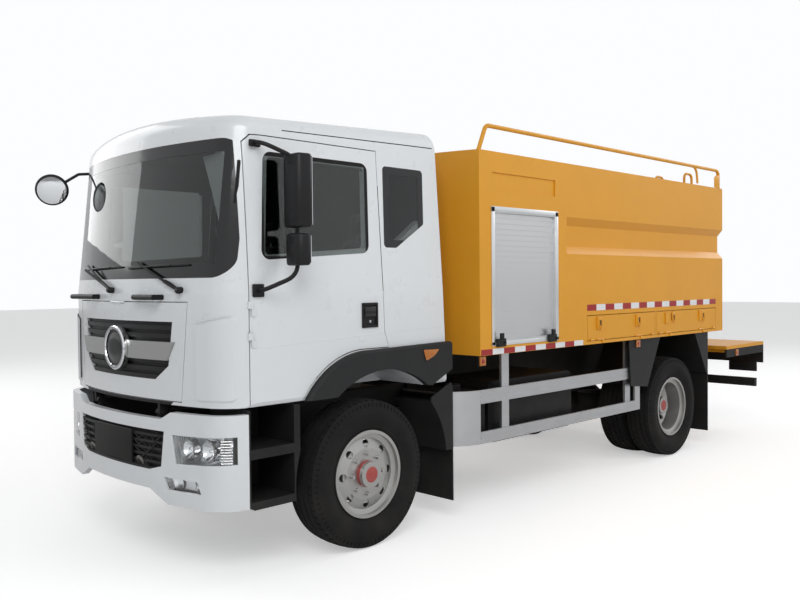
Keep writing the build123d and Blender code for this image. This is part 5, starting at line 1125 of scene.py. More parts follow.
@dataclass
class GlassTrim:
    """Black borders printed on the windscreen and the side glass."""

    shop: Workshop
    lift: float = 0.0009
    screen_low: float = 1.845
    screen_high: float = 2.69
    screen_half: float = 1.022
    border: float = 0.05
    door_window: tuple = ((-0.846, 0.045), (1.95, 2.616), 0.026)
    quarter_window: tuple = ((0.19, 0.59), (2.05, 2.616), 0.055)
    quarter_from: float = 0.1

    def build(self) -> None:
        """Make every border."""
        form = self.shop.copy_of("cab_glass")
        self.keep(form, lambda face: face.normal.y < -0.3)
        limits = (
            ((0, 0, self.screen_low + 0.035 + self.border), (0, 0, 1)),
            ((0, 0, self.screen_high - 0.03 - self.border), (0, 0, -1)),
            ((self.screen_half - 0.045 - self.border, 0, 0), (-1, 0, 0)),
            ((-self.screen_half + 0.045 + self.border, 0, 0), (1, 0, 0)),
        )
        self.open_up(form, limits)
        self.shop.piece("windscreen_border", form, GLOSS_BLACK, "cab")
        for side in Side:
            self.build_door(side)
            self.build_quarter(side)

    def build_door(self, side: Side) -> None:
        """Seal around one door's glass."""
        form = self.shop.copy_of(f"door_glass_{side.word}")
        self.keep(form, lambda face: face.normal.x * side.value > 0.5)
        limits = self.frame_limits(*self.door_window)
        self.open_up(form, limits)
        self.shop.piece(f"door_glass_seal_{side.word}", form, SEAL, f"door_{side.word}_body")

    def build_quarter(self, side: Side) -> None:
        """Border of one quarter window."""
        form = self.shop.copy_of("cab_glass")
        start = aft(self.quarter_from)
        self.keep(form, lambda face: face.normal.x * side.value > 0.6)
        self.keep(form, lambda face: face.calc_center_median().y > start)
        if not form.mesh.faces:
            form.mesh.free()
            return
        limits = self.frame_limits(*self.quarter_window)
        self.open_up(form, limits)
        self.shop.piece(f"quarter_glass_border_{side.word}", form, GLOSS_BLACK, "cab")

    @staticmethod
    def frame_limits(y_span: Pair, z_span: Pair, width: float) -> tuple:
        """Planes that bound the clear part of an upright window."""
        return (
            ((0, aft(y_span[0]) + width, 0), (0, 1, 0)),
            ((0, aft(y_span[1]) - width, 0), (0, -1, 0)),
            ((0, 0, z_span[0] + width), (0, 0, 1)),
            ((0, 0, z_span[1] - width), (0, 0, -1)),
        )

    @staticmethod
    def keep(form: Form, test: Callable[[Face], bool]) -> None:
        """Keep only the faces that pass a test."""
        form.mesh.normal_update()
        gone = [face for face in form.mesh.faces if not test(face)]
        bmesh.ops.delete(form.mesh, geom=gone, context="FACES")

    def open_up(self, form: Form, limits: Sequence[tuple[Point, Point]]) -> None:
        """Cut the clear middle out of a border and lift it off the glass.

        Args:
            form: Outer skin of the glass.
            limits: Point and inward direction of each edge of the clear part.
        """
        for place, inward in limits:
            geometry = form.mesh.verts[:] + form.mesh.edges[:] + form.mesh.faces[:]
            bmesh.ops.bisect_plane(
                form.mesh, geom=geometry, dist=1e-6, plane_co=place, plane_no=inward
            )
        clear = [
            face
            for face in form.mesh.faces
            if all(
                (face.calc_center_median() - Vector(place)).dot(Vector(inward)) > 0
                for place, inward in limits
            )
        ]
        bmesh.ops.delete(form.mesh, geom=clear, context="FACES")
        form.mesh.normal_update()
        for vert in form.mesh.verts:
            vert.co += vert.normal * self.lift


@dataclass
class BodyMarks:
    """Tape, side markers, latches, shutter tracks and rail feet of the body's sides."""

    shop: Workshop
    side_x: float = 1.196
    wall: float = 0.0012
    tapes: tuple[tuple[str, Pair, Pair, int], ...] = (
        ("upper_tape", (2.522, 5.068), (1.540, 1.595), 17),
        ("lower_tape", (1.062, 2.455), (1.244, 1.288), 10),
    )
    markers: tuple[Triple, ...] = ((1.10, 1.176, 1.238), (3.43, 1.176, 1.238), (5.62, 1.192, 1.010))
    latch_places: tuple[Pair, ...] = ((2.715, 3.398), (4.086, 4.742))

    def build(self) -> None:
        """Make the marks of both sides."""
        for side in Side:
            for name, (front, back), levels, blocks in self.tapes:
                self.build_tape(side, name, (aft(front), aft(back)), levels, blocks)
            self.build_markers(side)
            self.build_latches(side)
            self.build_shutter_trim(side)
            self.build_roof_ends(side)

    def build_tape(self, side: Side, name: str, y_span: Pair, z_span: Pair, blocks: int) -> None:
        """Lay red and white blocks of tape in turn.

        Args:
            side: Side of the truck.
            name: Name of the strip.
            y_span: Front and rear end.
            z_span: Lower and upper edge.
            blocks: Number of blocks; the first is red.
        """
        pitch = (y_span[1] - y_span[0]) / blocks
        for shade, finish in enumerate((TAPE_RED, TAPE_WHITE)):
            form = Form()
            for index in range(shade, blocks, 2):
                start = y_span[0] + index * pitch
                form.block(
                    (self.side_x - 0.0002, start, z_span[0]),
                    (self.side_x + self.wall, start + pitch, z_span[1]), 0.0003, 1,
                )
            self.shop.piece(
                f"{name}_{finish.name}_{side.word}", form.flipped(side), finish, "chassis"
            )

    def build_markers(self, side: Side) -> None:
        """Amber side markers with a red middle, under the edges of body and platform."""
        feet, lenses, middles = Form(), Form(), Form()
        for place, x, top in self.markers:
            y = aft(place)
            feet.block((x - 0.016, y - 0.040, top - 0.078), (x, y + 0.040, top), 0.003)
            lenses.block(
                (x - 0.002, y - 0.036, top - 0.074), (x + 0.009, y + 0.036, top - 0.004), 0.004, 3
            )
            middles.lathe(
                [(0.0, 0.0028), (0.014, 0.002), (0.018, 0.0), (0.0, 0.0)],
                (x + 0.009, y, top - 0.040), (1, 0, 0), 20,
            )
        self.shop.side_pieces(
            side, "chassis",
            ("side_marker_feet", feet, TRIM_BLACK),
            ("side_marker_lenses", lenses, AMBER),
            ("side_marker_middles", middles, RED_LENS),
        )

    def build_latches(self, side: Side) -> None:
        """Toggle latches and hinge knobs of the side flaps."""
        for number, places in enumerate(self.latch_places, 1):
            body = f"side_flap_{number}_{side.word}_body"
            low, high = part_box(f"side_flap_{number}_left")
            plates, eyes, knobs = Form(), Form(), Form()
            for place in places:
                y = aft(place)
                plates.block(
                    (high.x - 0.010, y - 0.030, 1.400), (high.x + 0.002, y + 0.030, 1.478), 0.006, 3
                )
                plates.pipe(
                    (
                        (high.x + 0.004, y - 0.022, 1.455), (high.x + 0.006, y - 0.022, 1.385),
                        (high.x + 0.006, y, 1.366), (high.x + 0.006, y + 0.022, 1.385),
                        (high.x + 0.004, y + 0.022, 1.455),
                    ),
                    0.004,
                    8,
                    soft=True,
                )
                eyes.block(
                    (high.x + 0.001, y - 0.010, 1.405), (high.x + 0.0035, y + 0.010, 1.452), 0.001,
                    1,
                )
            for y in (low.y + 0.06, high.y - 0.06):
                knobs.lathe(
                    [(0.0, 0.03), (0.008, 0.028), (0.010, -0.028), (0.0, -0.03)],
                    (high.x - 0.006, y, low.z + 0.008), (0, 1, 0), 16,
                )
            self.shop.side_pieces(
                side, body,
                (f"flap_latches_{number}", plates, YELLOW),
                (f"flap_latch_slots_{number}", eyes, TRIM_BLACK),
                (f"flap_knobs_{number}", knobs, YELLOW),
            )

    def build_shutter_trim(self, side: Side) -> None:
        """Pale track around a roller shutter and the latches at its foot."""
        x, track, latches = self.side_x + 0.004, Form(), Form()
        front, back = aft(1.190), aft(2.077)
        foot, top, wide = 1.312, 2.383, 0.040
        for low_y, high_y, low_z, high_z in (
            (front, front + wide, foot, top), (back - wide, back, foot, top),
            (front, back, top - wide, top + 0.004), (front, back, foot - 0.004, foot + wide * 0.7),
        ):
            track.block((x - 0.004, low_y, low_z), (x + 0.004, high_y, high_z), 0.0025)
        for y in (front + 0.10, back - 0.10):
            latches.block(
                (x, y - 0.055, foot - 0.012), (x + 0.020, y + 0.055, foot + 0.052), 0.006, 3
            )
            latches.block(
                (x + 0.010, y - 0.022, foot + 0.045), (x + 0.028, y + 0.022, foot + 0.095), 0.006, 3
            )
            latches.lathe(
                [(0.0, 0.012), (0.010, 0.010), (0.012, 0.0), (0.0, 0.0)],
                (x + 0.019, y + 0.035, foot + 0.02), (1, 0, 0), 16,
            )
        self.shop.side_pieces(
            side, "chassis",
            ("shutter_track", track, SHUTTER_TRACK),
            ("shutter_latches", latches, TRIM_BLACK),
        )

    def build_roof_ends(self, side: Side) -> None:
        """Bracket plate where the roof rail comes down at the rear, and the hook before it."""
        form = Form()
        x = 1.164
        form.plate(
            [(-0.085, -0.03), (-0.085, 0.075), (-0.045, 0.105), (0.045, 0.105), (0.045, -0.03)],
            (x + 0.018, aft(5.150), 2.842),
            (0, 1, 0),
            (0, 0, 1),
            0.006,
            0.002,
            0.006,
        )
        form.pipe(
            (
                (x, aft(4.71), 2.83), (x, aft(4.70), 2.92), (x, aft(4.67), 2.985),
                (x, aft(4.60), 3.012),
            ),
            0.012,
            12,
            soft=True,
        )
        self.shop.piece(f"roof_rail_foot_{side.word}", form.flipped(side), YELLOW, "chassis")


class Skin:
    """Finds points on the outer surface of CAD nodes."""

    def __init__(self, nodes: Iterable[Item]) -> None:
        """Build the search trees.

        Args:
            nodes: CAD nodes whose surface counts.
        """
        self.trees = []
        for item in nodes:
            corners = [vert.co.copy() for vert in item.data.vertices]
            faces = [tuple(polygon.vertices) for polygon in item.data.polygons]
            self.trees.append(BVHTree.FromPolygons(corners, faces))

    def hit(self, start: Point, ahead: Point) -> Vector | None:
        """Nearest point that a ray meets, or None."""
        found = None
        for tree in self.trees:
            place, _, _, reach = tree.ray_cast(Vector(start), Vector(ahead))
            if place is not None and (found is None or reach < found[1]):
                found = (place, reach)
        return found[0] if found else None

    def at_side(self, y: float, z: float, lift: float = 0.0) -> Vector:
        """Point of the left surface at a place along and above, lifted off it."""
        place = self.hit((3.0, y, z), (-1, 0, 0)) or Vector((1.06, y, z))
        return place + Vector((lift, 0, 0))

    def at_front(self, x: float, z: float, lift: float = 0.0) -> Vector:
        """Point of the front surface at a place across and above, lifted off it."""
        place = self.hit((x, -8.0, z), (0, 1, 0)) or Vector((x, aft(-1.25), z))
        return place + Vector((0, -lift, 0))


@dataclass
class Lamps:
    """Head, fog and tail lamps with their insides."""

    shop: Workshop
    bowls: tuple[Quad, ...] = (
        (0.735, 0.803, 0.056, 0.030), (0.868, 0.795, 0.062, 0.052), (0.965, 0.800, 0.040, 0.10),
    )
    fog_bowls: tuple[Quad, ...] = ((0.668, 0.582, 0.030, 0.02), (0.765, 0.582, 0.026, 0.03))

    def build(self) -> None:
        """Make the lamps of the front and the rear."""
        cover = self.shop.copy_of("headlamps")
        GlassTrim.keep(cover, lambda face: face.normal.y < -0.25 or abs(face.normal.x) > 0.7)
        bmesh.ops.solidify(cover.mesh, geom=cover.mesh.faces[:], thickness=0.0025)
        housing = self.shop.copy_of("headlamps")
        GlassTrim.keep(housing, lambda face: face.normal.y >= -0.25)
        self.shop.pieces(
            "chassis",
            ("headlamp_covers", cover, CLEAR, ("headlamps",)),
            ("headlamp_housings", housing, REFLECTOR),
        )
        skin = Skin([self.shop.nodes["headlamps"]])
        bowls, bulbs, rims = Form(), Form(), Form()
        for x, z, radius, back in self.bowls + self.fog_bowls:
            front = skin.at_front(x, z).y
            self.add_bowl(bowls, bulbs, rims, (x, front + 0.012 + back, z), radius)
        for form, name, finish in (
            (bowls, "lamp_bowls", CHROME), (bulbs, "lamp_bulbs", CLEAR),
            (rims, "lamp_bezels", BAR_SILVER),
        ):
            self.shop.piece(name, form.twin(), finish, "chassis")
        self.build_turn_lenses(skin)
        self.build_tail()

    def add_bowl(self, bowls: Form, bulbs: Form, rims: Form, place: Point, radius: float) -> None:
        """Add a dished reflector with its bulb shade and bezel."""
        ahead = (0, -1, 0)
        dish = [
            (radius * share, -0.045 * (1 - share * share))
            for share in (0.12, 0.3, 0.5, 0.7, 0.85, 1.0)
        ]
        bowls.lathe(
            [(0.0, -0.045)] + dish + [(radius + 0.003, 0.0), (radius + 0.003, -0.05), (0.0, -0.05)],
            place,
            ahead,
        )
        bulbs.lathe(
            [(0.0, -0.005), (0.008, -0.008), (0.011, -0.016), (0.011, -0.04), (0.0, -0.04)],
            place,
            ahead,
            20,
        )
        rims.lathe(
            [
                (radius, -0.001), (radius + 0.002, 0.003), (radius + 0.007, 0.002),
                (radius + 0.008, -0.006), (radius, -0.006),
            ],
            place,
            ahead,
        )

    def build_turn_lenses(self, skin: Skin) -> None:
        """Ribbed strips inside the outer end of each headlamp."""
        form = Form()
        for index in range(9):
            z = 0.735 + index * 0.0165
            start, end = skin.at_front(0.985, z), skin.at_front(1.03, z)
            form.pipe(((start.x, start.y + 0.02, z), (end.x, end.y + 0.02, z)), 0.0062, 12)
        self.shop.piece("turn_lens_ribs", form.twin(), BAR_SILVER, "chassis")

    def build_tail(self) -> None:
        """Lenses, housings and screws of the tail lamps."""
        low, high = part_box("signal_lamps")
        sections = (
            (0.0, 0.38, RED_LENS), (0.38, 0.66, AMBER), (0.66, 0.86, CLEAR_LENS),
            (0.86, 1.0, RED_LENS),
        )
        inner, outer = 0.780, high.x
        for index, (start, end, finish) in enumerate(sections):
            form = Form()
            x_low, x_high = inner + (outer - inner) * start + 0.003, inner + (
                outer - inner
            ) * end - 0.003
            form.block(
                (x_low, high.y - 0.014, low.z + 0.006), (x_high, high.y - 0.001, high.z - 0.006),
                0.004, 3,
            )
            self.shop.piece(f"tail_lens_{index}", form.twin(), finish, "chassis")
        housing, screws = Form(), Form()
        housing.block((inner, low.y, low.z), (outer, high.y - 0.010, high.z), 0.005, 3)
        self.shop.piece(
            "tail_lamp_housings", housing.twin(), TRIM_BLACK, "chassis", ("signal_lamps",)
        )
        for x in (inner + 0.008, outer - 0.008):
            screws.lathe([(0.0, 0.003), (0.004, 0.0025), (0.005, 0.0), (0.0, 0.0)],
                         (x, high.y - 0.010, (low.z + high.z) / 2), (0, 1, 0), 12)
        self.shop.piece("tail_lamp_screws", screws.twin(), CHROME, "chassis")


@dataclass
class FrontDetails:
    """Grille ring, bumper mesh, tow eyes, wipers, pillar slots and round mirror of the front."""

    shop: Workshop
    ring_level: float = 1.394
    ring_radius: float = 0.145
    eye_x: float = 0.33
    plate_edge: float = 0.275
    mesh_span: Pair = (0.20, 0.80)
    blade_half: float = 0.30
    blade_centres: Pair = (0.44, -0.26)
    arms: tuple[tuple[Pair, Pair], ...] = (
        ((-0.05, 1.772), (-0.555, 1.945)), ((0.70, 1.768), (0.256, 1.948)),
    )
    mirror_place: Triple = (-1.115, aft(-1.216), 2.533)
    mirror_turn: float = math.radians(25)
    mirror_dip: float = math.radians(18)

    def build(self) -> None:
        """Make the front's details."""
        self.build_ring()
        self.build_mesh()
        self.build_wipers()
        self.build_pillars()
        self.build_round_mirror()

    def build_round_mirror(self) -> None:
        """Convex glass of the round mirror ahead of the right pillar."""
        turn, dip, place = self.mirror_turn, self.mirror_dip, self.mirror_place
        face = (math.cos(turn) * math.cos(dip), -math.sin(turn), -math.sin(dip))
        glass, rim = Form(), Form()
        glass.lathe(
            [
                (0.0, 0.036), (0.03, 0.0352), (0.055, 0.0335), (0.08, 0.0300), (0.1035, 0.0245),
                (0.1035, 0.0215), (0.0, 0.0215),
            ],
            place,
            face,
            56,
        )
        rim.lathe(
            [
                (0.1035, 0.0225), (0.1045, 0.0265), (0.109, 0.0245), (0.1085, 0.0190),
                (0.1035, 0.0190),
            ],
            place,
            face,
            56,
        )
        self.shop.pieces(
            "cab",
            ("round_mirror_glass", glass, MIRROR, (), 60),
            ("round_mirror_rim", rim, TRIM_BLACK),
        )

    def build_ring(self) -> None:
        """Chrome ring with a plain dark dish inside."""
        centre = (0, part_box("grille_bar")[0].y, self.ring_level)
        radius = self.ring_radius
        ring, dish = Form(), Form()
        ring.lathe(
            [
                (radius - 0.024, -0.006), (radius - 0.021, 0.0012), (radius - 0.006, 0.0018),
                (radius + 0.0012, -0.005), (radius + 0.0012, -0.020), (radius - 0.004, -0.021),
                (radius - 0.024, -0.018),
            ],
            centre,
            (0, -1, 0),
            64,
        )
        dish.lathe(
            [
                (0.0, -0.006), (0.05, -0.0065), (0.09, -0.008), (radius - 0.030, -0.012),
                (radius - 0.0215, -0.010), (radius - 0.0215, -0.018), (0.0, -0.018),
            ],
            centre,
            (0, -1, 0),
            64,
        )
        self.shop.pieces(
            "front_flap_body",
            ("grille_ring", ring, CHROME),
            ("grille_ring_dish", dish, GLOSS_BLACK),
        )

    @staticmethod
    def mouth_edge(level: float) -> float:
        """Half width of the bumper's mouth at a level."""
        return 0.425 + (level - 0.65) / 0.25 * 0.14

    def build_mesh(self) -> None:
        """Expanded mesh in the bumper's mouth, a bare plate between and the tow eyes."""
        skin = Skin([self.shop.nodes["bumper_trim"]])
        mesh, plate, hooks = Form(), Form(), Form()
        low, high, pitch, wire = 0.665, 0.885, 0.030, 0.0036
        for lean in (1, -1):
            start = self.mesh_span[0]
            while start < self.mesh_span[1]:
                points = []
                for step in range(11):
                    z = low + (high - low) * step / 10
                    x = start + lean * (z - (low + high) / 2) * 1.5
                    if self.plate_edge < x < self.mouth_edge(z):
                        points.append(tuple(skin.at_front(x, z, 0.004)))
                if len(points) > 1:
                    mesh.pipe((points[0], points[-1]), wire, 4)
                start += pitch
        self.shop.piece("mouth_mesh", mesh.twin(), FLAP_RUBBER, "chassis")
        front = skin.at_front(0.0, 0.78).y
        plate.block((-0.262, front - 0.006, 0.672), (0.262, front + 0.012, 0.884), 0.004, 3)
        self.shop.piece("bare_plate", plate, PLATE_BLACK, "chassis")
        x, y = self.eye_x, skin.at_front(self.eye_x, 0.70).y
        hooks.pipe(
            (
                (x - 0.03, y + 0.02, 0.662), (x - 0.03, y - 0.006, 0.715),
                (x + 0.03, y - 0.006, 0.715), (x + 0.03, y + 0.02, 0.662),
            ),
            0.011,
            16,
            soft=True,
        )
        self.shop.piece("tow_eyes", hooks.twin(), STEEL, "chassis")

    def build_wipers(self) -> None:
        """Wiper arms with their rubber blades and yokes."""
        skin = Skin([self.shop.nodes["cab_glass"]])
        cowl = Skin([self.shop.nodes["cab_glass"], self.shop.nodes["cab_shell"]])
        blades, yokes = Form(), Form()
        half = self.blade_half
        for centre in self.blade_centres:
            line = []
            for step in range(9):
                x = centre - half + 2 * half * step / 8
                line.append(tuple(skin.at_front(x, 1.913 + 0.012 * step / 8, 0.010)))
            blades.pipe(line, 0.0065, 8, soft=True)
            yokes.pipe([(x, y - 0.010, z + 0.004) for x, y, z in line[2:7]], 0.006, 8, soft=True)
        arms = Form()
        for hub, tip in self.arms:
            line = []
            for step in range(7):
                share = step / 6
                x, z = hub[0] + (tip[0] - hub[0]) * share, hub[1] + (tip[1] - hub[1]) * share
                line.append(tuple(cowl.at_front(x, z, 0.026 - 0.008 * share)))
            arms.pipe(line[:3], 0.0125, 12, soft=True)
            arms.pipe(line[1:], 0.0085, 10, soft=True)
            arms.lathe([(0.0, 0.030), (0.014, 0.028), (0.020, 0.018), (0.021, 0.0), (0.0, 0.0)],
                       line[0], (0, -1, 0.2), 20)
        self.shop.pieces(
            "cab",
            ("wiper_arms", arms, TRIM_BLACK),
            ("wiper_blades", blades, SEAL),
            ("wiper_yokes", yokes, TRIM_BLACK),
        )

    def build_pillars(self) -> None:
        """Black slots on the front pillars beside the windscreen."""
        skin = Skin([self.shop.nodes["cab_shell"]])
        form = Form()
        line = [
            tuple(skin.at_side(aft(-0.985 + 0.006 * step), 2.29 + 0.052 * step, -0.001))
            for step in range(6)
        ]
        form.pipe(line, 0.011, 12)
        self.shop.piece("pillar_slots", form.twin(), TRIM_BLACK, "cab")


def rounded_line(points: Sequence[Point], radius: float, steps: int = 6) -> list[Vector]:
    """Points of a line whose corners are rounded.

    Args:
        points: Ends and corners of the line.
        radius: Distance from each corner at which its bend starts.
        steps: Steps of each bend.

    Returns:
        The points, with each corner as a curve.
    """
    places = [Vector(point) for point in points]
    line = [places[0]]
    for before, corner, after in zip(places, places[1:], places[2:]):
        start = corner + (before - corner).normalized() * min(radius, (before - corner).length / 2)
        end = corner + (after - corner).normalized() * min(radius, (after - corner).length / 2)
        for index in range(steps + 1):
            share = index / steps
            line.append(start.lerp(corner, share).lerp(corner.lerp(end, share), share))
    return line + [places[-1]]


@dataclass
class Mirrors:
    """Mirror heads on their bent arm, and the outer handle of each door."""

    shop: Workshop
    x: float = 1.215
    back: float = -0.690
    bracket_back: float = -0.880
    handle_span: Pair = (-0.033, 0.112)
    handle_levels: Pair = (1.500, 1.670)
    levels: Pair = (1.765, 2.655)
    heads: tuple[Quad, ...] = ((2.146, 2.590, 0.096, 0.053), (1.915, 2.110, 0.092, 0.043))

    def build(self) -> None:
        """Make the mirrors and handles of both doors."""
        for side in Side:
            self.build_side(side)

    def build_side(self, side: Side) -> None:
        """Arm, heads, glasses and handle of one door."""
        arm, heads, glasses, clamps = Form(), Form(), Form(), Form()
        low, high = self.levels
        foot_y, head_y = aft(self.bracket_back), aft(self.back)
        line = rounded_line(
            (
                (1.062, foot_y, low), (1.120, foot_y, low), (self.x, head_y, low + 0.09),
                (self.x, head_y, high - 0.09), (1.120, foot_y, high), (1.042, foot_y, high),
            ),
            0.075,
        )
        arm.pipe(line, 0.0138, 16)
        for x, level, half in ((1.0605, low, 0.040), (1.0405, high, 0.022)):
            arm.block(
                (x, foot_y - 0.040, level - half), (x + 0.021, foot_y + 0.040, level + half), 0.008,
                3,
            )
            for step in (-0.028, 0.028):
                arm.lathe(
                    [(0.0, 0.004), (0.005, 0.0035), (0.007, 0.0), (0.0, 0.0)],
                    (x + 0.021, foot_y + step, level), (1, 0, 0), 12,
                )
        for foot, top, half, depth in self.heads:
            outline = [(half, depth), (-half, depth), (-half * 0.8, -depth), (half * 0.8, -depth)]
            heads.plate(
                outline[::-1], (self.x, head_y, foot), (1, 0, 0), (0, 1, 0), top - foot, 0.016,
                0.030,
            )
            glasses.block((self.x - half + 0.012, head_y + depth - 0.002, foot + 0.014),
                          (self.x + half - 0.012, head_y + depth + 0.0015, top - 0.014), 0.0012, 1)
            for level in (foot + 0.03, top - 0.07):
                clamps.block(
                    (self.x - 0.026, head_y - depth - 0.002, level),
                    (self.x + 0.026, head_y - depth + 0.02, level + 0.055), 0.010, 3,
                )
        body = f"door_{side.word}_body"
        self.shop.side_pieces(
            side, body,
            ("mirror_arm", arm, TRIM_BLACK, (f"door_mirrors_{side.word}",)),
            ("mirror_heads", heads, MIRROR_BLACK, (f"door_mirrors_{side.word}",), 50),
            ("mirror_glasses", glasses, MIRROR),
            ("mirror_clamps", clamps, TRIM_BLACK),
        )
        self.build_handle(side, body)

    def build_handle(self, side: Side, body: str) -> None:
        """Handle frame with a pull flap and a lock barrel."""
        frame, flap, lock = Form(), Form(), Form()
        (low_y, high_y), (low_z, high_z) = map(aft, self.handle_span), self.handle_levels
        for (y_low, z_low), (y_high, z_high) in (
            ((low_y, low_z), (high_y, low_z + 0.016)), ((low_y, high_z - 0.020), (high_y, high_z)),
            ((low_y, low_z), (low_y + 0.016, high_z)), ((high_y - 0.016, low_z), (high_y, high_z)),
        ):
            frame.block((1.0615, y_low, z_low), (1.075, y_high, z_high), 0.005, 3)
        frame.block(
            (1.062, low_y + 0.01, low_z + 0.01), (1.0635, high_y - 0.01, high_z - 0.01), 0.0005, 1
        )
        flap.block(
            (1.064, low_y + 0.022, low_z + 0.075), (1.0755, high_y - 0.022, high_z - 0.026), 0.005,
            3,
        )
        lock.lathe(
            [(0.0, 0.006), (0.009, 0.0055), (0.011, 0.0), (0.0, 0.0)],
            (1.0645, (low_y + high_y) / 2, low_z + 0.042), (1, 0, 0), 20,
        )
        self.shop.side_pieces(
            side, body,
            ("handle_frame", frame, TRIM_BLACK, (f"door_mirrors_{side.word}",)),
            ("handle_flap", flap, GLOSS_BLACK),
            ("handle_lock", lock, CHROME),
        )


@dataclass
class CabTrim:
    """Crease beads, gutters, indicators and handle recesses of the cab's sides."""

    shop: Workshop
    lower_crease: tuple[Pair, ...] = ((-0.90, 1.414), (-0.50, 1.430), (0.18, 1.457))
    rear_crease: tuple[Pair, ...] = ((0.25, 1.459), (0.50, 1.468), (0.78, 1.479))
    indicator: Pair = (0.60, 1.29)
    recess: tuple[Pair, ...] = ((-0.036, 0.115), (1.497, 1.673), (1.035, 1.0615))
    gutter: tuple[Pair, ...] = (
        (-0.66, 2.760), (-0.3, 2.768), (0.1, 2.777), (0.5, 2.786), (0.70, 2.790)
    )

    def build(self) -> None:
        """Make the trim of both sides."""
        shell = Skin([self.shop.nodes["cab_shell"]])
        door = Skin([self.shop.nodes["door_left"]])
        for side in Side:
            self.bead(
                f"rear_crease_{side.word}", shell, self.rear_crease, 0.0035, WHITE, "cab", side
            )
            self.bead(f"roof_gutter_{side.word}", shell, self.gutter, 0.0045, SEAL, "cab", side)
            self.bead(
                f"door_crease_{side.word}", door, self.lower_crease, 0.0035, WHITE,
                f"door_{side.word}_body", side,
            )
            self.build_indicator(side)
        self.paint_recess()

    def bead(
        self,
        name: str,
        skin: Skin,
        line: Sequence[Pair],
        radius: float,
        finish: Finish,
        body: str,
        side: Side,
    ) -> None:
        """Lay a thin bead on the side's surface.

        Args:
            name: Name of the piece.
            skin: Surface that carries it.
            line: Distance behind the front axle and level of its points.
            radius: Radius of the bead.
            finish: Its finish.
            body: Body that it rides on.
            side: Side of the truck.
        """
        form = Form()
        form.pipe(
            [tuple(skin.at_side(aft(place), level, -radius * 0.45)) for place, level in line],
            radius,
            10,
        )
        self.shop.piece(name, form.flipped(side), finish, body)

    def build_indicator(self, side: Side) -> None:
        """Amber indicator lens on the arch trim."""
        y, z = aft(self.indicator[0]), self.indicator[1]
        x = Skin([self.shop.nodes["arch_trims"]]).at_side(y, z).x
        lens, bezel = Form(), Form()
        outline = [(-0.085, 0.030), (0.085, 0.026), (0.030, -0.020), (-0.055, -0.052)]
        lens.plate(outline, (x - 0.004, y, z), (0, 1, 0), (0, 0, 1), 0.012, 0.004, 0.012)
        wide = [(a * 1.09, b * 1.14) for a, b in outline]
        bezel.plate(wide, (x - 0.006, y, z), (0, 1, 0), (0, 0, 1), 0.010, 0.002, 0.014)
        self.shop.side_pieces(
            side, "cab",
            ("indicator_lens", lens, AMBER),
            ("indicator_bezel", bezel, TRIM_BLACK),
        )

    def paint_recess(self) -> None:
        """Blacken the recess behind each door handle."""
        for side in Side:
            data = self.shop.nodes[f"door_{side.word}"].data
            data.materials.append(self.shop.palette.material(TRIM_BLACK))
            for polygon in data.polygons:
                x, y, z = polygon.center
                if all(
                    low < value < high
                    for value, (low, high) in zip((y - FRONT_AXLE_Y, z, abs(x)), self.recess)
                ):
                    polygon.material_index = len(data.materials) - 1


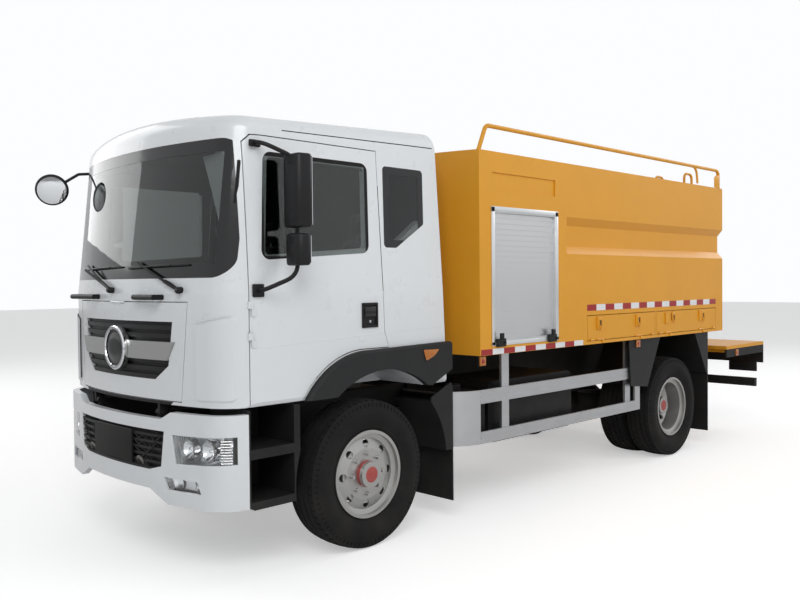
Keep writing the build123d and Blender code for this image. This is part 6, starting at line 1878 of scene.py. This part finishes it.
@dataclass
class Seats:
    """Two cab seats with cushions swollen by a cloth simulation."""

    shop: Workshop
    seat_x: float = 0.62
    half_width: float = 0.245
    level: float = 1.50
    thickness: float = 0.13
    front: float = -0.25
    back: float = 0.27
    back_wall: float = 0.13
    lean: float = 0.09
    head: float = 2.33
    voxel: float = 0.009
    swell: float = 0.012
    pressure: float = 4.0
    frames: int = 14

    def build(self) -> None:
        """Make both seats in place of their plain solids."""
        for side in Side:
            names = ("seats",) if side is Side.LEFT else ()
            self.pad(f"seat_cushion_{side.word}", self.cushion(side), names)
            self.pad(f"seat_backrest_{side.word}", self.backrest(side), names)
            self.pad(f"seat_headrest_{side.word}", self.headrest(side), names)
            self.build_hardware(side)

    def cushion(self, side: Side) -> Form:
        """Cushion with side bolsters, in the space of its solid."""
        form = Form()
        x = side.value * self.seat_x
        inset = self.swell
        low = (x - self.half_width + inset, aft(self.front) + inset, self.level + 0.004)
        high = (
            x + self.half_width - inset, aft(self.back) - inset - 0.01,
            self.level + self.thickness - inset,
        )
        form.block(low, high, 0.035, 4)
        self.crown(form, (x, aft((self.front + self.back) / 2)), high[2])
        return form

    def crown(self, form: Form, middle: Pair, top: float) -> None:
        """Lower the middle of a cushion's top between its bolsters."""
        self.refine(form)
        for vert in form.mesh.verts:
            if vert.co.z > top - 0.02:
                across = abs(vert.co.x - middle[0]) / self.half_width
                if across < 0.62:
                    vert.co.z -= 0.020 * math.cos(across / 0.62 * math.pi / 2)

    @staticmethod
    def refine(form: Form, length: float = 0.15) -> None:
        """Divide edges past a length finely enough to be bent."""
        edges = [edge for edge in form.mesh.edges if edge.calc_length() > length]
        bmesh.ops.subdivide_edges(form.mesh, edges=edges, cuts=9, use_grid_fill=True)

    def backrest(self, side: Side) -> Form:
        """Leaning backrest with a hollow for the back."""
        form = Form()
        x = side.value * self.seat_x
        low_z, high_z = self.level + self.thickness + 0.008, self.head - 0.20
        form.block(
            (x - self.half_width + 0.012, aft(self.back) + 0.014, low_z),
            (x + self.half_width - 0.012, aft(self.back) + self.back_wall - 0.014, high_z),
            0.035,
            4,
        )
        self.refine(form)
        for vert in form.mesh.verts:
            across = abs(vert.co.x - x) / self.half_width
            if vert.co.y < aft(self.back) + 0.03 and across < 0.66:
                vert.co.y += 0.022 * math.cos(across / 0.66 * math.pi / 2)
            vert.co.y += self.lean * (vert.co.z - low_z) / (self.head - low_z)
            share = max(0.0, (vert.co.z - high_z + 0.16) / 0.16)
            vert.co.x = x + (vert.co.x - x) * (1 - 0.16 * share * share)
        return form

    def headrest(self, side: Side) -> Form:
        """Headrest above the backrest."""
        form = Form()
        x = side.value * self.seat_x
        shift = self.lean * 0.86
        form.block(
            (x - 0.135, aft(self.back) + shift + 0.016, self.head - 0.175),
            (x + 0.135, aft(self.back) + shift + 0.105, self.head - 0.012), 0.032, 4)
        return form

    def pad(self, name: str, form: Form, replaces: Sequence[str]) -> None:
        """Dress a padded piece and let it swell.

        Args:
            name: Name of the piece.
            form: Its starting shape.
            replaces: Nodes that it stands for.
        """
        item = self.shop.piece(name, form, SEAT_CLOTH, "cab", replaces, 80.0)
        self.inflate(item)
        rounding = item.modifiers.new("rounding", "SUBSURF")
        rounding.levels = rounding.render_levels = 1

    def inflate(self, item: Item) -> None:
        """Run cloth with pressure on a piece and keep the shape, capped."""
        remesh = item.modifiers.new("remesh", "REMESH")
        remesh.mode = "VOXEL"
        remesh.voxel_size = self.voxel
        self.bake(item)
        start = [vert.co.copy() for vert in item.data.vertices]
        cloth = item.modifiers.new("cloth", "CLOTH")
        cloth.settings.use_pressure = True
        cloth.settings.uniform_pressure_force = self.pressure
        cloth.settings.effector_weights.gravity = 0.0
        scene = bpy.context.scene
        for number in range(1, self.frames + 1):
            scene.frame_set(number)
        self.bake(item)
        scene.frame_set(1)
        for vert, origin in zip(item.data.vertices, start):
            move = vert.co - origin
            if move.length > self.swell:
                vert.co = origin + move * (self.swell / move.length)
        item.data.shade_smooth()

    @staticmethod
    def bake(item: Item) -> None:
        """Apply an object's modifiers to its mesh."""
        view = bpy.context.evaluated_depsgraph_get()
        data = bpy.data.meshes.new_from_object(item.evaluated_get(view))
        item.modifiers.clear()
        item.data = data

    def build_hardware(self, side: Side) -> None:
        """Rails, headrest posts, recliner knob and belt of one seat."""
        x = side.value * self.seat_x
        metal, plastic, belt = Form(), Form(), Form()
        for step in (-0.07, 0.07):
            y = aft(self.back) + self.lean * 0.80 + self.back_wall * 0.42
            metal.pipe(
                ((x + step, y, self.head - 0.24), (x + step, y + 0.004, self.head - 0.15)),
                0.0065,
                12,
            )
        for step in (-0.19, 0.19):
            metal.block((x + step - 0.02, aft(self.front) + 0.03, self.level - 0.024),
                        (x + step + 0.02, aft(self.back) - 0.01, self.level + 0.002), 0.003)
        plastic.lathe(
            [(0.0, 0.02), (0.03, 0.018), (0.036, 0.0), (0.0, 0.0)],
            (x + self.half_width - 0.01, aft(self.back) + 0.03, self.level + 0.07),
            (1, 0, 0),
            24,
        )
        for step in range(2):
            plastic.block(
                (x - 0.06, aft(self.back) - 0.03, self.level + 0.10 + step * 0.012),
                (x - 0.03, aft(self.back) + 0.01, self.level + 0.11 + step * 0.012),
                0.003,
            )
        outer = side.value * (self.half_width - 0.03)
        belt.pipe(
            (
                (x + outer, aft(self.back) + 0.115, 2.14), (x + outer, aft(self.back) + 0.02, 2.10),
                (x + outer * 0.9, aft(self.back) + 0.012, 1.80),
                (x + outer, aft(self.back) + 0.02, 1.64),
            ),
            0.011,
            8,
            soft=True,
        )
        self.shop.pieces(
            "cab",
            (f"seat_posts_{side.word}", metal, CHROME),
            (f"seat_controls_{side.word}", plastic, DASH),
            (f"seat_belt_{side.word}", belt, SEAL),
        )


@dataclass
class Cockpit:
    """Gauges, switches, vents, gear lever and visors around the dashboard."""

    shop: Workshop
    wheel_x: float = 0.56

    def build(self) -> None:
        """Make the dashboard's details."""
        self.build_cluster()
        self.build_centre()
        self.build_vents()

    @staticmethod
    def slope_y(level: float) -> float:
        """Y of the dashboard's rear face at a level."""
        return aft(-0.70) - 0.12 * (1.68 - level) / 0.26

    def build_cluster(self) -> None:
        """Hooded gauge cluster in front of the steering wheel."""
        hood, rims, dials, needles = Form(), Form(), Form(), Form()
        x, y = self.wheel_x, aft(-0.80)
        hood.plate(
            [
                (-0.20, -0.02), (-0.20, 0.05), (-0.13, 0.10), (0.13, 0.10), (0.20, 0.05),
                (0.20, -0.02),
            ],
            (x, y, 1.735),
            (1, 0, 0),
            (0, 0, 1),
            -0.15,
            0.006,
            0.02,
        )
        for step, radius in ((-0.085, 0.05), (0.085, 0.05), (0.0, 0.026)):
            place = (x + step, y + 0.001, 1.775)
            rims.lathe(
                [
                    (radius, -0.002), (radius + 0.002, 0.004), (radius + 0.006, 0.004),
                    (radius + 0.007, -0.002),
                ],
                place,
                (0, 1, 0),
                32,
            )
            dials.lathe(
                [(0.0, 0.0015), (radius, 0.0015), (radius, -0.002), (0.0, -0.002)],
                place,
                (0, 1, 0),
                32,
            )
            needles.block((place[0] - 0.0012, y + 0.002, place[2] - 0.004),
                          (place[0] + 0.0012, y + 0.0045, place[2] + radius * 0.8), 0.0004, 1)
        self.shop.pieces(
            "cab",
            ("gauge_hood", hood, DASH),
            ("gauge_rims", rims, CHROME),
            ("gauge_dials", dials, GLOSS_BLACK),
            ("gauge_needles", needles, HUB_RED),
        )

    def build_centre(self) -> None:
        """Centre stack with buttons, knobs and a screen, and the gear lever."""
        panel, buttons, screen, lever = Form(), Form(), Form(), Form()
        for row in range(3):
            for column in range(6):
                x, z = -0.11 + column * 0.044, 1.50 + row * 0.034
                y = self.slope_y(z)
                buttons.block(
                    (x - 0.018, y - 0.004, z - 0.012), (x + 0.018, y + 0.006, z + 0.012), 0.003
                )
        panel.block(
            (-0.15, self.slope_y(1.61) - 0.02, 1.47), (0.15, self.slope_y(1.60) - 0.002, 1.60),
            0.006,
        )
        screen.block((-0.115, aft(-0.755), 1.625), (0.115, aft(-0.705), 1.712), 0.006, 3)
        lever.pipe(
            ((0.20, aft(-0.62), 1.41), (0.20, aft(-0.60), 1.56), (0.20, aft(-0.57), 1.64)),
            0.010,
            12,
            soft=True,
        )
        lever.lathe(
            [
                (0.0, 0.034), (0.018, 0.028), (0.026, 0.008), (0.020, -0.016), (0.010, -0.026),
                (0.0, -0.026),
            ],
            (0.20, aft(-0.57), 1.65),
            (0, 0.2, 1),
            24,
        )
        lever.lathe(
            [
                (0.012, 0.08), (0.028, 0.05), (0.024, 0.04), (0.044, 0.02), (0.040, 0.01),
                (0.06, 0.0), (0.0, 0.0),
            ],
            (0.20, aft(-0.62), 1.401),
            (0, 0, 1),
            24,
        )
        self.shop.pieces(
            "cab",
            ("centre_panel", panel, GLOSS_BLACK),
            ("centre_buttons", buttons, DASH),
            ("centre_screen", screen, GLOSS_BLACK),
            ("gear_lever", lever, DASH),
        )

    def build_vents(self) -> None:
        """Louvred air vents along the dashboard and sun visors above."""
        louvres, visors = Form(), Form()
        for x in (-0.82, -0.30, 0.24, 0.88):
            for row in range(5):
                z = 1.60 + row * 0.014
                y = self.slope_y(z)
                louvres.block((x - 0.055, y - 0.004, z), (x + 0.055, y + 0.007, z + 0.005), 0.0015)
        for side in (-1, 1):
            visors.block(
                (side * 0.55 - 0.28, aft(-1.02), 2.60), (side * 0.55 + 0.28, aft(-0.995), 2.735),
                0.010, 3,
            )
        self.shop.pieces(
            "cab",
            ("dash_vents", louvres, TRIM_BLACK),
            ("sun_visors", visors, LINING),
        )


def main() -> None:
    """Build the scene in order."""
    configure_log()
    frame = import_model()
    Studio().build()
    palette = Palette(Effects().build())
    shop = Workshop(palette, frame["nodes"])
    for assembly in (
        NodeDresser(shop),
        Wheels(shop),
        GlassTrim(shop),
        BodyMarks(shop),
        Lamps(shop),
        FrontDetails(shop),
        CabTrim(shop),
        Mirrors(shop),
        Seats(shop),
        Cockpit(shop),
    ):
        assembly.build()
        LOG.info("%s done", type(assembly).__name__)
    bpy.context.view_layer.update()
    LOG.info("%d pieces", shop.count)


if __name__ == "__main__":
    main()
